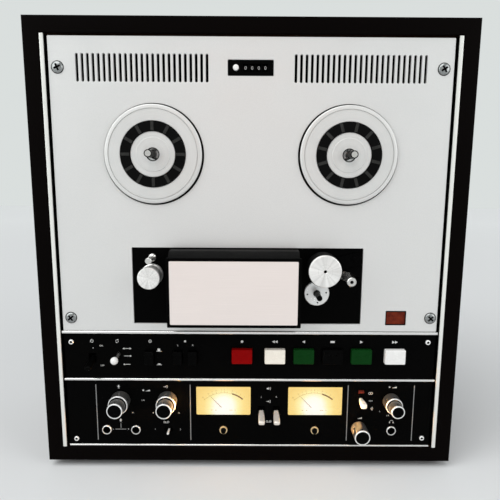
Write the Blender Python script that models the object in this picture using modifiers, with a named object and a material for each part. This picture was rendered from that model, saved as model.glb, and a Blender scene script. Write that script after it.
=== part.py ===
"""Reel to reel tape deck: a wooden cabinet with a reel deck, a function panel and an amplifier panel.

The model is built in a front frame: x to the right, y up from the floor, and z out of the
cabinet's front edge towards the listener. One empty turns that frame upright, so world +Z is up
and the deck faces world -Y.
"""

import math

import bmesh
import bpy
from mathutils import Matrix

# Driving dimensions, in metres.
CLEAR = 0.0003
RUN = 0.0004

# Sides of round pieces.
LARGE_SIDES = 24
MEDIUM_SIDES = 16
SMALL_SIDES = 10

# Cabinet.
PANEL_WIDTH = 0.3865
DECK_HEIGHT = 0.2889
FUNCTION_HEIGHT = 0.0547
AMPLIFIER_HEIGHT = 0.0737
CABINET_DEPTH = 0.190
BOARD = 0.016
BOARD_ROUND = 0.0012
SIDE_GAP = 0.0026
TOP_GAP = 0.0018
FOOT_HEIGHT = 0.008
FOOT_RADIUS = 0.014
FOOT_TAPER = 0.002
FOOT_INSET = 0.045
RAIL_WIDTH = 0.0038
RAIL_DEPTH = 0.012
RAIL_PROUD = 0.0005
RAIL_EDGE = 0.0006
REBATE_WIDTH = 0.006
REBATE_DEPTH = 0.014

# Panels and chassis.
PANEL_RECESS = 0.002
PANEL_THICK = 0.0025
PANEL_RETURN = 0.0075
RETURN_THICK = 0.002
RETURN_INSET = 0.0004
TRIM_PROUD = 0.0024
TRIM_EDGE = 0.001
UPPER_TRIM = 0.0037
MIDDLE_TRIM = 0.0032
BOTTOM_TRIM = 0.0023
TRIM_OVERHANG = 0.0018
CHASSIS_THICK = 0.002
CHASSIS_DEPTH = 0.135
CHASSIS_RIM = 0.010

# Vents: a bank of slots on each side of the counter.
VENT_SLOTS = 25
VENT_PITCH = 0.00516
VENT_WIDTH = 0.0019
VENT_HEIGHT = 0.0256
VENT_INNER_X = 0.0424
VENT_TOP_GAP = 0.0159

# Reel tables.
TABLE_X = 0.0954
TABLE_DROP = 0.0214
TABLE_RADIUS = 0.0468
TABLE_FACE_RADIUS = 0.0438
TABLE_GAP = 0.001
TABLE_PROUD = 0.0035
TABLE_RIM_DEPTH = 0.0065
TABLE_WEB = 0.003
TABLE_HUB_RADIUS = 0.009
MAT_OUTER = 0.0318
MAT_INNER = 0.022
MAT_THICK = 0.0016
MAT_RECESS = 0.001
MAT_RIBS = 12
MAT_RIB_WIDTH = 0.0012
MAT_RIB_HEIGHT = 0.0004
HUB_STEP_RADIUS = 0.0165
HUB_STEP = 0.0006
SPINDLE_REACH = 0.026
SPINDLE_RADIUS = 0.0039
SPINDLE_TIP_RADIUS = 0.0034
SPINDLE_TIP = 0.004
SPINDLE_RIB_REACH = 0.0067
SPINDLE_RIB_WIDTH = 0.0022
SPINDLE_RIB_HEIGHT = 0.0125
SHAFT_RADIUS = 0.003
SHAFT_IN_MOTOR = 0.014

# Counter.
COUNTER_X = -0.0008
COUNTER_DROP = 0.0282
COUNTER_WIDTH = 0.0431
COUNTER_HEIGHT = 0.0141
COUNTER_FACE = 0.0004
COUNTER_PLATE = 0.0016
DRUM_RADIUS = 0.009
DRUM_WIDTH = 0.0056
DRUM_PITCH = 0.0063
DRUM_FIRST_X = -0.0049
DRUM_WINDOW = 0.0075
DRUM_AXLE = 0.0016
DRUM_COUNT = 4
CHEEK_THICK = 0.0012
RESET_X = -0.0141
RESET_RADIUS = 0.0032
RESET_PROUD = 0.0018
RESET_FLANGE = 0.0009

# Head deck.
HEAD_DECK_X = -0.0029
HEAD_DECK_WIDTH = 0.2334
HEAD_DECK_LOW = 0.008
HEAD_DECK_HEIGHT = 0.0788
HEAD_DECK_RECESS = 0.0015
HEAD_DECK_THICK = 0.003
PILLAR_RADIUS = 0.004
PILLAR_INSET_X = 0.020
PILLAR_INSET_Y = 0.006
TAPE_HEIGHT = 0.0469
TAPE_OUT = 0.0085
COVER_LEFT_MARGIN = 0.03815
COVER_RIGHT_MARGIN = 0.06455
COVER_LOW = 0.0104
COVER_HEIGHT = 0.0755
COVER_PROUD = 0.0195
COVER_WALL = 0.0018
COVER_BEVEL_DROP = 0.0056
COVER_BEVEL_RUN = 0.007
COVER_LIP = 0.0014
COVER_LIP_DEPTH = 0.003
COVER_PLATE_THICK = 0.0009
COVER_PLATE_BORDER = 0.0017
COVER_SLOT = 0.010
HEAD_WIDTH = 0.014
HEAD_HEIGHT = 0.018
HEAD_DEPTH = 0.0135
HEAD_NOSE = 0.004
HEAD_PITCH = 0.034
HEAD_PLATE_WIDTH = 0.1
HEAD_PLATE_THICK = 0.0025
HEAD_SHIELD = 0.0012
ROLLER_INSET = 0.0201
ROLLER_HEIGHT = 0.0597
ROLLER_RADIUS = 0.011
ROLLER_PROUD = 0.0198
ROLLER_PIN = 0.0024
GUIDE_INSET = 0.0206
GUIDE_HEIGHT = 0.077
GUIDE_RADIUS = 0.0026
GUIDE_FLANGE = 0.0039
GUIDE_PROUD = 0.0195

# Capstan and its drive.
CAPSTAN_INSET = 0.0458
CAPSTAN_HEIGHT = 0.0405
CAPSTAN_RADIUS = 0.00275
CAPSTAN_PROUD = 0.0195
BEARING_RADIUS = 0.0128
BEARING_DISC = 0.0024
SLEEVE_RADIUS = 0.007
FLYWHEEL_RADIUS = 0.042
FLYWHEEL_THICK = 0.018
FLYWHEEL_WEB = 0.008
FLYWHEEL_RIM = 0.011
FLYWHEEL_HUB = 0.012
FLYWHEEL_BACK_GAP = 0.046
PULLEY_RADIUS = 0.009
PULLEY_LENGTH = 0.014
PULLEY_FLANGE = 0.0012
BELT_WIDTH = 0.005
BELT_THICK = 0.0009
CAPSTAN_MOTOR_X = -0.045
CAPSTAN_MOTOR_RISE = 0.012
CAPSTAN_MOTOR_RADIUS = 0.032
CAPSTAN_MOTOR_LENGTH = 0.044
REEL_MOTOR_RADIUS = 0.043
REEL_MOTOR_LENGTH = 0.062
MOTOR_FLANGE = 0.003
MOTOR_FLANGE_REACH = 0.004

# Pinch roller and tension arm.
PINCH_INSET = 0.0411
PINCH_RISE = 0.027
PINCH_RADIUS = 0.0166
PINCH_CAP_RADIUS = 0.0161
PINCH_PROUD = 0.021
PINCH_CAP_THICK = 0.0026
PINCH_HOLE = 0.0016
PINCH_AXLE = 0.003
PINCH_ARM_THICK = 0.0026
PINCH_ARM_END = 0.0062
PINCH_PIVOT_INSET = 0.0078
PINCH_PIVOT_RISE = 0.0357
PINCH_PIVOT_RADIUS = 0.0035
TENSION_INSET = 0.0157
TENSION_RISE = 0.0174
TENSION_PROUD = 0.0235
TENSION_RADIUS = 0.0038
TENSION_FLANGE = 0.0045
TENSION_FLANGE_THICK = 0.0016
TENSION_PIVOT_INSET = 0.0238
TENSION_PIVOT_RISE = -0.014
TENSION_PIN = 0.003
TENSION_ARM_WIDTH = 0.010
TENSION_ARM_THICK = 0.0022
TENSION_SWING = math.radians(12)

# Amber lamp window in the deck panel.
LAMP_X = 0.1504
LAMP_HEIGHT = 0.0146
LAMP_WIDTH = 0.0205
LAMP_RISE = 0.0145
LAMP_DEPTH = 0.007

# Function panel. Heights are from the panel's lower edge.
KEY_ROW = 0.0284
KEY_WIDTH = 0.0213
KEY_HEIGHT = 0.0156
KEY_PROUD = 0.0050
KEY_EDGE = 0.0012
KEY_STEM = 0.003
KEY_FLANGE = 0.0014
KEY_PITCH = 0.030
REWIND_X = 0.026
RECORD_GAP = 0.0343
FORWARD_GAP = 0.035
POWER_X = -0.1645
POWER_ROW = 0.025
AUTO_X = -0.1375
AUTO_ROW = 0.028
AUTO_REACH = 0.0175
AUTO_KNOB = 0.0041
SPEED_X = -0.1045
RECORD_LEFT_X = -0.0752
RECORD_RIGHT_X = -0.0597
SMALL_ROW = 0.0265
SMALL_WIDTH = 0.0092
SMALL_HEIGHT = 0.0142
SMALL_PROUD = 0.0055

# Levers: a bat in a slot, turning on a pin behind the panel.
PADDLE_WIDTH = 0.0066
PADDLE_THICK = 0.0042
PADDLE_REACH = 0.0135
LEVER_WIDTH = 0.0034
LEVER_THICK = 0.003
LEVER_PIVOT_DEPTH = 0.0045
LEVER_HUB_RADIUS = 0.0026
LEVER_SWING = math.radians(14)
MONITOR_REST = math.radians(13)
POWER_REST = math.radians(12)

# Amplifier panel. Heights are from the panel's lower edge.
MIC_X = -0.1365
LINE_X = -0.087
VOLUME_X = 0.150
LEVEL_X = 0.1167
KNOB_ROW = 0.0526
LEVEL_ROW = 0.0212
DUAL_REAR_RADIUS = 0.0099
DUAL_FRONT_RADIUS = 0.0081
VOLUME_REAR_RADIUS = 0.0088
VOLUME_FRONT_RADIUS = 0.0069
LEVEL_RADIUS = 0.0081
DUAL_SPLIT = 0.0125
DUAL_PROUD = 0.0245
LEVEL_PROUD = 0.0185
KNOB_RIM = 0.0008
KNOB_DISH = 0.0006
KNOB_LIFT = 0.0006
KNOB_SHAFT = 0.003
KNOB_SLEEVE = 0.0046
JACK_ROW = 0.0185
JACK_LEFT_X = -0.1527
JACK_RIGHT_X = -0.1216
PHONES_X = 0.1519
JACK_RADIUS = 0.0048
JACK_BORE = 0.0032
JACK_PROUD = 0.0016
JACK_DEPTH = 0.016
METER_LEFT_X = -0.0279
METER_SPACING = 0.0977
METER_ROW = 0.0512
METER_WIDTH = 0.0578
METER_HEIGHT = 0.0322
METER_FRAME = 0.003
METER_WALL = 0.0012
METER_DEPTH = 0.026
METER_CAVITY = 0.009
NEEDLE_LENGTH = 0.030
NEEDLE_WIDTH = 0.0009
NEEDLE_THICK = 0.0006
NEEDLE_HUB = 0.0022
NEEDLE_HUB_LENGTH = 0.004
NEEDLE_RISE = 0.0012
NEEDLE_REST = math.radians(43)
BULB_ROW = 0.0186
BULB_RADIUS = 0.0042
BULB_PROUD = 0.0018
MONITOR_LEFT_X = 0.0125
MONITOR_PITCH = 0.0158
MONITOR_ROW = 0.0405
ECHO_X = 0.1182
ECHO_ROW = 0.0534
ECHO_LAMP_ROW = 0.0625
ECHO_LAMP_WIDTH = 0.0062
ECHO_LAMP_HEIGHT = 0.0038
ECHO_LAMP_PROUD = 0.001
SELECTOR_X = -0.0862
SELECTOR_ROW = 0.0186
SELECTOR_REACH = 0.009

# Behind the panels.
TRANSFORMER_X = -0.140
TRANSFORMER_DEPTH = 0.075
TRANSFORMER_WIDTH = 0.066
TRANSFORMER_HEIGHT = 0.056
TRANSFORMER_STACK = 0.034
TRANSFORMER_FOOT = 0.008
COIL_BULGE = 0.011
COIL_WIDTH = 0.042
COIL_HEIGHT = 0.040
CIRCUIT_LEFT = -0.085
CIRCUIT_RIGHT = 0.178
CIRCUIT_FRONT = 0.046
CIRCUIT_BACK = 0.128
CIRCUIT_LIFT = 0.010
CIRCUIT_THICK = 0.0016
CIRCUIT_POST = 0.003
CAPACITORS = 4
FINS = 4
CAPACITOR_RADIUS = 0.009
CAPACITOR_HEIGHT = 0.028
HEATSINK_HEIGHT = 0.030
HEATSINK_LENGTH = 0.060
REAR_THICK = 0.002
REAR_SLOT_LENGTH = 0.062
REAR_SLOT_WIDTH = 0.005
REAR_SLOT_PITCH = 0.012
REAR_SLOT_ROWS = 9
REAR_SLOT_LOW = 0.245
SOCKET_PANEL_WIDTH = 0.250
SOCKET_PANEL_HEIGHT = 0.060
SOCKET_PANEL_LOW = 0.040
SOCKET_PANEL_THICK = 0.0016
SOCKET_MARGIN = 0.006
SOCKET_RADIUS = 0.0042
SOCKET_LENGTH = 0.0085
SOCKET_BORE = 0.0017
SOCKET_COLLAR = 0.0062
SOCKET_COLLAR_LENGTH = 0.0022
SOCKET_COLUMNS = 2
SOCKET_PITCH = 0.034
SOCKET_SPACING = 0.022
SOCKET_FIRST_X = -0.095
INLET_X = 0.085
INLET_WIDTH = 0.030
INLET_HEIGHT = 0.022
INLET_WALL = 0.0025
INLET_DEPTH = 0.016

# Levels that follow from the driving dimensions.
OPENING_HALF = PANEL_WIDTH / 2 + SIDE_GAP + RAIL_WIDTH + CLEAR
CABINET_HALF = OPENING_HALF + BOARD
OPENING_LOW = FOOT_HEIGHT + BOARD
AMPLIFIER_LOW = OPENING_LOW + CLEAR
FUNCTION_LOW = AMPLIFIER_LOW + AMPLIFIER_HEIGHT + CLEAR
DECK_LOW = FUNCTION_LOW + FUNCTION_HEIGHT + CLEAR
DECK_TOP = DECK_LOW + DECK_HEIGHT
OPENING_HIGH = DECK_TOP + TOP_GAP
CABINET_TOP = OPENING_HIGH + BOARD
PANEL_FACE = -PANEL_RECESS
PANEL_BACK = PANEL_FACE - PANEL_THICK
RETURN_BACK = PANEL_BACK - PANEL_RETURN
CHASSIS_FACE = RETURN_BACK - CLEAR
CHASSIS_BACK = CHASSIS_FACE - CHASSIS_THICK
CHASSIS_HALF = PANEL_WIDTH / 2 - CLEAR
SHELF_TOP = OPENING_LOW + CLEAR + CHASSIS_THICK
VENT_TOP = DECK_TOP - VENT_TOP_GAP
VENT_LOW = VENT_TOP - VENT_HEIGHT
TABLE_Y = VENT_LOW - TABLE_DROP - TABLE_RADIUS
COUNTER_Y = DECK_TOP - COUNTER_DROP
HEAD_LEFT = HEAD_DECK_X - HEAD_DECK_WIDTH / 2
HEAD_RIGHT = HEAD_DECK_X + HEAD_DECK_WIDTH / 2
HEAD_LOW = DECK_LOW + HEAD_DECK_LOW
HEAD_FACE = PANEL_FACE - HEAD_DECK_RECESS
HEAD_BACK = HEAD_FACE - HEAD_DECK_THICK
COVER_WIDTH = HEAD_DECK_WIDTH - COVER_LEFT_MARGIN - COVER_RIGHT_MARGIN
COVER_X = HEAD_LEFT + COVER_LEFT_MARGIN + COVER_WIDTH / 2
ROLLER_X = HEAD_LEFT + ROLLER_INSET
GUIDE_X = HEAD_LEFT + GUIDE_INSET
CAPSTAN_X = HEAD_RIGHT - CAPSTAN_INSET
PINCH_X = HEAD_RIGHT - PINCH_INSET
PINCH_PIVOT_X = HEAD_RIGHT - PINCH_PIVOT_INSET
TENSION_X = HEAD_RIGHT - TENSION_INSET
TENSION_PIVOT_X = HEAD_RIGHT - TENSION_PIVOT_INSET
CAPSTAN_Y = DECK_LOW + CAPSTAN_HEIGHT
TAPE_Y = DECK_LOW + TAPE_HEIGHT
FRONT_Y = (SPINDLE_REACH - CABINET_DEPTH) / 2

PARTS = bpy.data.collections.new("tape_deck")
CUTTERS = bpy.data.collections.new("cutters")
FRONT = bpy.data.objects.new("deck_front", None)


def clear_scene():
    """Empties the scene and sets up the front frame."""
    for thing in list(bpy.data.objects):
        if thing != FRONT:
            bpy.data.objects.remove(thing)
    for group in (PARTS, CUTTERS):
        bpy.context.scene.collection.children.link(group)
    PARTS.objects.link(FRONT)
    FRONT.location = (0, FRONT_Y, 0)
    FRONT.rotation_euler = (math.pi / 2, 0, 0)


def add_object(name, mesh, pivot=(0, 0, 0), cutter=False):
    """A new object in the front frame whose origin is the pivot."""
    thing = bpy.data.objects.new(name, mesh)
    (CUTTERS if cutter else PARTS).objects.link(thing)
    thing.parent = FRONT
    thing.location = pivot
    if cutter:
        thing.hide_render = True
        thing.display_type = "WIRE"
    return thing


def mesh_from(name, shape):
    """The finished mesh of a bmesh."""
    bmesh.ops.recalc_face_normals(shape, faces=shape.faces)
    mesh = bpy.data.meshes.new(name)
    shape.to_mesh(mesh)
    shape.free()
    return mesh


def box(name, x, y, z, pivot=(0, 0, 0), cutter=False):
    """A block between the pairs x, y and z."""
    shape = bmesh.new()
    bmesh.ops.create_cube(shape, size=1)
    sizes = [pair[1] - pair[0] for pair in (x, y, z)]
    bmesh.ops.scale(shape, vec=sizes, verts=shape.verts)
    middle = [sum(pair) / 2 - offset for pair, offset in zip((x, y, z), pivot)]
    bmesh.ops.translate(shape, vec=middle, verts=shape.verts)
    return add_object(name, mesh_from(name, shape), pivot, cutter)


def cylinder(name, centre, radius, z, sides=MEDIUM_SIDES, pivot=None, cutter=False):
    """A cylinder along z between the pair z."""
    pivot = pivot or (centre[0], centre[1], 0)
    shape = bmesh.new()
    bmesh.ops.create_cone(shape, cap_ends=True, segments=sides, radius1=radius, radius2=radius,
                          depth=z[1] - z[0])
    middle = (centre[0] - pivot[0], centre[1] - pivot[1], sum(z) / 2 - pivot[2])
    bmesh.ops.translate(shape, vec=middle, verts=shape.verts)
    return add_object(name, mesh_from(name, shape), pivot, cutter)


def upright(name, x, z, low_radius, high_radius, y, sides=MEDIUM_SIDES, cutter=False):
    """A round post standing along y."""
    shape = bmesh.new()
    bmesh.ops.create_cone(shape, cap_ends=True, segments=sides, radius1=high_radius,
                          radius2=low_radius, depth=y[1] - y[0])
    thing = add_object(name, mesh_from(name, shape), (x, sum(y) / 2, z), cutter)
    thing.rotation_euler = (math.pi / 2, 0, 0)
    return thing


def crossbar(name, x, y, z, radius, sides=SMALL_SIDES, pivot=None, cutter=False):
    """A round bar along x between the pair x, at height y and depth z."""
    shape = bmesh.new()
    bmesh.ops.create_cone(shape, cap_ends=True, segments=sides, radius1=radius, radius2=radius,
                          depth=x[1] - x[0])
    bmesh.ops.rotate(shape, cent=(0, 0, 0), verts=shape.verts,
                     matrix=Matrix.Rotation(math.pi / 2, 3, "Y"))
    pivot = pivot or (sum(x) / 2, y, z)
    offset = (sum(x) / 2 - pivot[0], y - pivot[1], z - pivot[2])
    bmesh.ops.translate(shape, vec=offset, verts=shape.verts)
    return add_object(name, mesh_from(name, shape), pivot, cutter)


def turned(name, centre, profile, sides=MEDIUM_SIDES, closed=False, cutter=False):
    """A profile of (radius, z) points, from the front down its outer side, turned about z."""
    points = [(radius, 0, z) for radius, z in profile]
    edges = [(i, i + 1) for i in range(len(points) - 1)]
    if closed:
        edges.append((len(points) - 1, 0))
    mesh = bpy.data.meshes.new(name)
    mesh.from_pydata(points, edges, [])
    thing = add_object(name, mesh, (centre[0], centre[1], 0), cutter)
    screw = thing.modifiers.new("turn", "SCREW")
    screw.steps = sides
    screw.render_steps = sides
    screw.use_merge_vertices = True
    screw.merge_threshold = 0.00001
    weld = thing.modifiers.new("weld", "WELD")
    weld.merge_threshold = 0.00001
    return thing


def rectangle(x, y):
    """A rectangle's corners."""
    return [(x[0], y[0]), (x[1], y[0]), (x[1], y[1]), (x[0], y[1])]


def around(x, y, width, height, gap=0.0):
    """The rectangle of a width and height about a centre, wider by a gap on each side."""
    half = (width / 2 + gap, height / 2 + gap)
    return rectangle((x - half[0], x + half[0]), (y - half[1], y + half[1]))


def circle(x, y, radius, sides=MEDIUM_SIDES):
    """Points round a circle."""
    turns = [2 * math.pi * i / sides for i in range(sides)]
    return [(x + radius * math.cos(turn), y + radius * math.sin(turn)) for turn in turns]


def plate(name, loops, z, pivot=(0, 0, 0), cutter=False):
    """A flat plate between the pair z, from its outline and the outlines of its holes."""
    curve = bpy.data.curves.new(name, "CURVE")
    curve.dimensions = "2D"
    curve.fill_mode = "BOTH"
    curve.extrude = (z[1] - z[0]) / 2
    for loop in loops:
        spline = curve.splines.new("POLY")
        spline.points.add(len(loop) - 1)
        for point, (x, y) in zip(spline.points, loop):
            point.co = (x - pivot[0], y - pivot[1], 0, 1)
        spline.use_cyclic_u = True
    flat = bpy.data.objects.new(name + "_outline", curve)
    PARTS.objects.link(flat)
    bpy.context.view_layer.update()
    drawn = flat.evaluated_get(bpy.context.evaluated_depsgraph_get())
    mesh = bpy.data.meshes.new_from_object(drawn)
    bpy.data.objects.remove(flat)
    bpy.data.curves.remove(curve)
    shape = bmesh.new()
    shape.from_mesh(mesh)
    bmesh.ops.remove_doubles(shape, verts=shape.verts, dist=0.000001)
    bmesh.ops.beautify_fill(shape, faces=shape.faces, edges=shape.edges)
    bmesh.ops.translate(shape, vec=(0, 0, sum(z) / 2 - pivot[2]), verts=shape.verts)
    bpy.data.meshes.remove(mesh)
    return add_object(name, mesh_from(name, shape), pivot, cutter)


def boolean(target, tools, operation):
    """Keeps one Boolean on the target for each tool."""
    for tool in tools:
        step = target.modifiers.new(operation.lower(), "BOOLEAN")
        step.operation = operation
        step.object = tool


def cut(target, *tools):
    """Takes the tools away from the target."""
    boolean(target, tools, "DIFFERENCE")


def fuse(target, *tools):
    """Joins the tools to the target."""
    boolean(target, tools, "UNION")


def bevel(thing, width):
    """Breaks the sharp edges."""
    edge = thing.modifiers.new("edge", "BEVEL")
    edge.width = width
    edge.segments = 1
    edge.limit_method = "ANGLE"
    edge.angle_limit = math.radians(50)


def finish(thing, colour, roughness, metallic=0.0):
    """Gives the piece its own material and smooth round faces."""
    paint = bpy.data.materials.new(thing.name)
    paint.use_nodes = True
    shader = paint.node_tree.nodes["Principled BSDF"]
    shader.inputs["Base Color"].default_value = (*colour, 1)
    shader.inputs["Roughness"].default_value = roughness
    shader.inputs["Metallic"].default_value = metallic
    thing.data.materials.append(paint)
    thing.data.shade_smooth()
    thing.data.set_sharp_from_angle(angle=math.radians(30))


WALNUT = (0.020, 0.011, 0.009)
SILVER = (0.78, 0.78, 0.77)
STEEL = (0.55, 0.56, 0.57)
BLACK = (0.012, 0.012, 0.013)
RUBBER = (0.015, 0.015, 0.016)
CHROME = (0.80, 0.81, 0.82)


def cabinet():
    """Four boards round an opening, with a rebate for the rear cover, on four feet."""
    body = box("cabinet", (-CABINET_HALF, CABINET_HALF), (FOOT_HEIGHT, CABINET_TOP),
               (-CABINET_DEPTH, 0))
    bevel(body, BOARD_ROUND)
    inside = box("cabinet_opening", (-OPENING_HALF, OPENING_HALF), (OPENING_LOW, OPENING_HIGH),
                 (-CABINET_DEPTH - BOARD, BOARD), cutter=True)
    rebate = box("cabinet_rebate",
                 (-OPENING_HALF - REBATE_WIDTH, OPENING_HALF + REBATE_WIDTH),
                 (OPENING_LOW - REBATE_WIDTH, OPENING_HIGH + REBATE_WIDTH),
                 (-CABINET_DEPTH - BOARD, REBATE_DEPTH - CABINET_DEPTH), cutter=True)
    cut(body, inside, rebate)
    for side in (-1, 1):
        for row, z in (("front", -FOOT_INSET), ("rear", FOOT_INSET - CABINET_DEPTH)):
            foot = upright(f"foot_{row}_{side}", side * (CABINET_HALF - FOOT_INSET), z,
                           FOOT_RADIUS - FOOT_TAPER, FOOT_RADIUS, (0, FOOT_HEIGHT + BOARD / 4),
                           cutter=True)
            fuse(body, foot)
    finish(body, WALNUT, 0.45)


def side_rails():
    """Bright strips inside the cabinet's front edges."""
    for name, side in (("side_rail_left", -1), ("side_rail_right", 1)):
        outer = side * (OPENING_HALF - CLEAR)
        inner = outer - side * RAIL_WIDTH
        rail = box(name, (min(inner, outer), max(inner, outer)),
                   (OPENING_LOW + CLEAR, OPENING_HIGH - CLEAR), (-RAIL_DEPTH, RAIL_PROUD))
        bevel(rail, RAIL_EDGE)
        finish(rail, SILVER, 0.3, 1.0)


def panel(name, loops, low, high):
    """A sheet with holes, and a return folded back round its edge to the chassis."""
    half = PANEL_WIDTH / 2
    outline = rectangle((-half, half), (low, high))
    sheet = plate(name, [outline, *loops], (PANEL_BACK, PANEL_FACE))
    edge = half - RETURN_INSET
    outer = rectangle((-edge, edge), (low + RETURN_INSET, high - RETURN_INSET))
    wall = RETURN_INSET + RETURN_THICK
    inner = rectangle((wall - half, half - wall), (low + wall, high - wall))
    rim = plate(name + "_return", [outer, inner], (RETURN_BACK, PANEL_BACK + PANEL_THICK / 2),
                cutter=True)
    fuse(sheet, rim)
    return sheet


def trim_bar(name, low, height):
    """A bright bar across the front of a panel."""
    half = PANEL_WIDTH / 2 + TRIM_OVERHANG
    inset = RETURN_INSET / 2
    bar = box(name, (-half, half), (low + inset, low + height - inset),
              (PANEL_BACK + PANEL_THICK / 2, PANEL_FACE + TRIM_PROUD), cutter=True)
    bevel(bar, TRIM_EDGE)
    return bar


def vent_places():
    """The centres of the vent slots, left bank then right bank."""
    steps = [VENT_INNER_X + i * VENT_PITCH for i in range(VENT_SLOTS)]
    return [side * x for side in (-1, 1) for x in steps]


def deck_panel():
    """The silver panel round the reel tables, counter, head deck and lamp."""
    middle = (VENT_LOW + VENT_TOP) / 2
    loops = [around(x, middle, VENT_WIDTH, VENT_HEIGHT) for x in vent_places()]
    for side in (-1, 1):
        loops.append(circle(side * TABLE_X, TABLE_Y, TABLE_RADIUS + TABLE_GAP, LARGE_SIDES))
    loops.append(around(COUNTER_X, COUNTER_Y, COUNTER_WIDTH, COUNTER_HEIGHT))
    loops.append(around(HEAD_DECK_X, HEAD_LOW + HEAD_DECK_HEIGHT / 2, HEAD_DECK_WIDTH,
                        HEAD_DECK_HEIGHT, CLEAR))
    loops.append(around(LAMP_X, DECK_LOW + LAMP_RISE, LAMP_WIDTH, LAMP_HEIGHT, CLEAR))
    finish(panel("deck_panel", loops, DECK_LOW, DECK_TOP), SILVER, 0.4, 0.9)


def key_places():
    """Each transport key's name and x."""
    names = ("rewind_key", "reverse_key", "stop_key", "play_key")
    places = {name: REWIND_X + i * KEY_PITCH for i, name in enumerate(names)}
    places["record_key"] = REWIND_X - RECORD_GAP
    places["forward_key"] = places["play_key"] + FORWARD_GAP
    return places


def small_button_places():
    """Each small push button's name and x."""
    return {"speed_button": SPEED_X, "record_mode_left": RECORD_LEFT_X,
            "record_mode_right": RECORD_RIGHT_X}


def slot_length(thick, swing):
    """How long a lever's slot is, for a lever this thick that swings this far each way."""
    arm = LEVER_PIVOT_DEPTH + PANEL_THICK
    return 2 * (arm * math.tan(swing) + thick / 2 / math.cos(swing) + RUN)


def function_panel():
    """The black panel of the transport keys, with a bright bar along each edge."""
    row = FUNCTION_LOW + KEY_ROW
    loops = [around(x, row, KEY_WIDTH, KEY_HEIGHT, RUN) for x in key_places().values()]
    small = FUNCTION_LOW + SMALL_ROW
    for x in small_button_places().values():
        loops.append(around(x, small, SMALL_WIDTH, SMALL_HEIGHT, RUN))
    loops.append(around(POWER_X, FUNCTION_LOW + POWER_ROW, PADDLE_WIDTH + 2 * RUN,
                        slot_length(PADDLE_THICK, POWER_REST)))
    loops.append(around(AUTO_X, FUNCTION_LOW + AUTO_ROW, LEVER_WIDTH + 2 * RUN,
                        slot_length(LEVER_THICK, LEVER_SWING)))
    high = FUNCTION_LOW + FUNCTION_HEIGHT
    sheet = panel("function_panel", loops, FUNCTION_LOW, high)
    fuse(sheet, trim_bar("middle_trim", FUNCTION_LOW, MIDDLE_TRIM),
         trim_bar("upper_trim", high - UPPER_TRIM, UPPER_TRIM))
    finish(sheet, BLACK, 0.5)


def meter_places():
    """Each meter's side and x."""
    return {"left": METER_LEFT_X, "right": METER_LEFT_X + METER_SPACING}


def monitor_places():
    """Each monitor lever's name and x."""
    return {"monitor_left": MONITOR_LEFT_X, "monitor_right": MONITOR_LEFT_X + MONITOR_PITCH}


def jack_places():
    """Each jack's name and x."""
    return {"mic_left": JACK_LEFT_X, "mic_right": JACK_RIGHT_X, "phones": PHONES_X}


def amplifier_panel():
    """The black panel of the knobs and meters, with its jacks, lamp rings and bottom bar."""
    high = AMPLIFIER_LOW + AMPLIFIER_HEIGHT
    loops = [around(x, AMPLIFIER_LOW + METER_ROW, METER_WIDTH, METER_HEIGHT)
             for x in meter_places().values()]
    for x in (MIC_X, LINE_X, VOLUME_X):
        loops.append(circle(x, AMPLIFIER_LOW + KNOB_ROW, KNOB_SLEEVE + RUN))
    loops.append(circle(LEVEL_X, AMPLIFIER_LOW + LEVEL_ROW, KNOB_SHAFT + RUN, SMALL_SIDES))
    swing = slot_length(LEVER_THICK, LEVER_SWING)
    tall = LEVER_WIDTH + 2 * RUN
    for x in monitor_places().values():
        loops.append(around(x, AMPLIFIER_LOW + MONITOR_ROW, PADDLE_WIDTH + 2 * RUN,
                            slot_length(PADDLE_THICK, MONITOR_REST)))
    loops.append(around(ECHO_X, AMPLIFIER_LOW + ECHO_ROW, tall, swing))
    loops.append(around(SELECTOR_X, AMPLIFIER_LOW + SELECTOR_ROW, swing, tall))
    sheet = panel("amplifier_panel", loops, AMPLIFIER_LOW, high)
    fuse(sheet, trim_bar("bottom_trim", AMPLIFIER_LOW, BOTTOM_TRIM))
    inside = PANEL_BACK + PANEL_THICK / 2
    for name, x in jack_places().items():
        place = (x, AMPLIFIER_LOW + JACK_ROW)
        fuse(sheet, cylinder("jack_" + name, place, JACK_RADIUS,
                             (-JACK_DEPTH, PANEL_FACE + JACK_PROUD), cutter=True))
        cut(sheet, cylinder("bore_" + name, place, JACK_BORE,
                            (-JACK_DEPTH - JACK_PROUD, JACK_DEPTH), SMALL_SIDES, cutter=True))
    for side, x in meter_places().items():
        fuse(sheet, cylinder("lamp_ring_" + side, (x, AMPLIFIER_LOW + BULB_ROW), BULB_RADIUS,
                             (inside, PANEL_FACE + BULB_PROUD), SMALL_SIDES, cutter=True))
    lamp = AMPLIFIER_LOW + ECHO_LAMP_ROW
    fuse(sheet, box("echo_lamp", (ECHO_X - ECHO_LAMP_WIDTH / 2, ECHO_X + ECHO_LAMP_WIDTH / 2),
                    (lamp - ECHO_LAMP_HEIGHT / 2, lamp + ECHO_LAMP_HEIGHT / 2),
                    (inside, PANEL_FACE + ECHO_LAMP_PROUD), cutter=True))
    finish(sheet, BLACK, 0.5)


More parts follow.
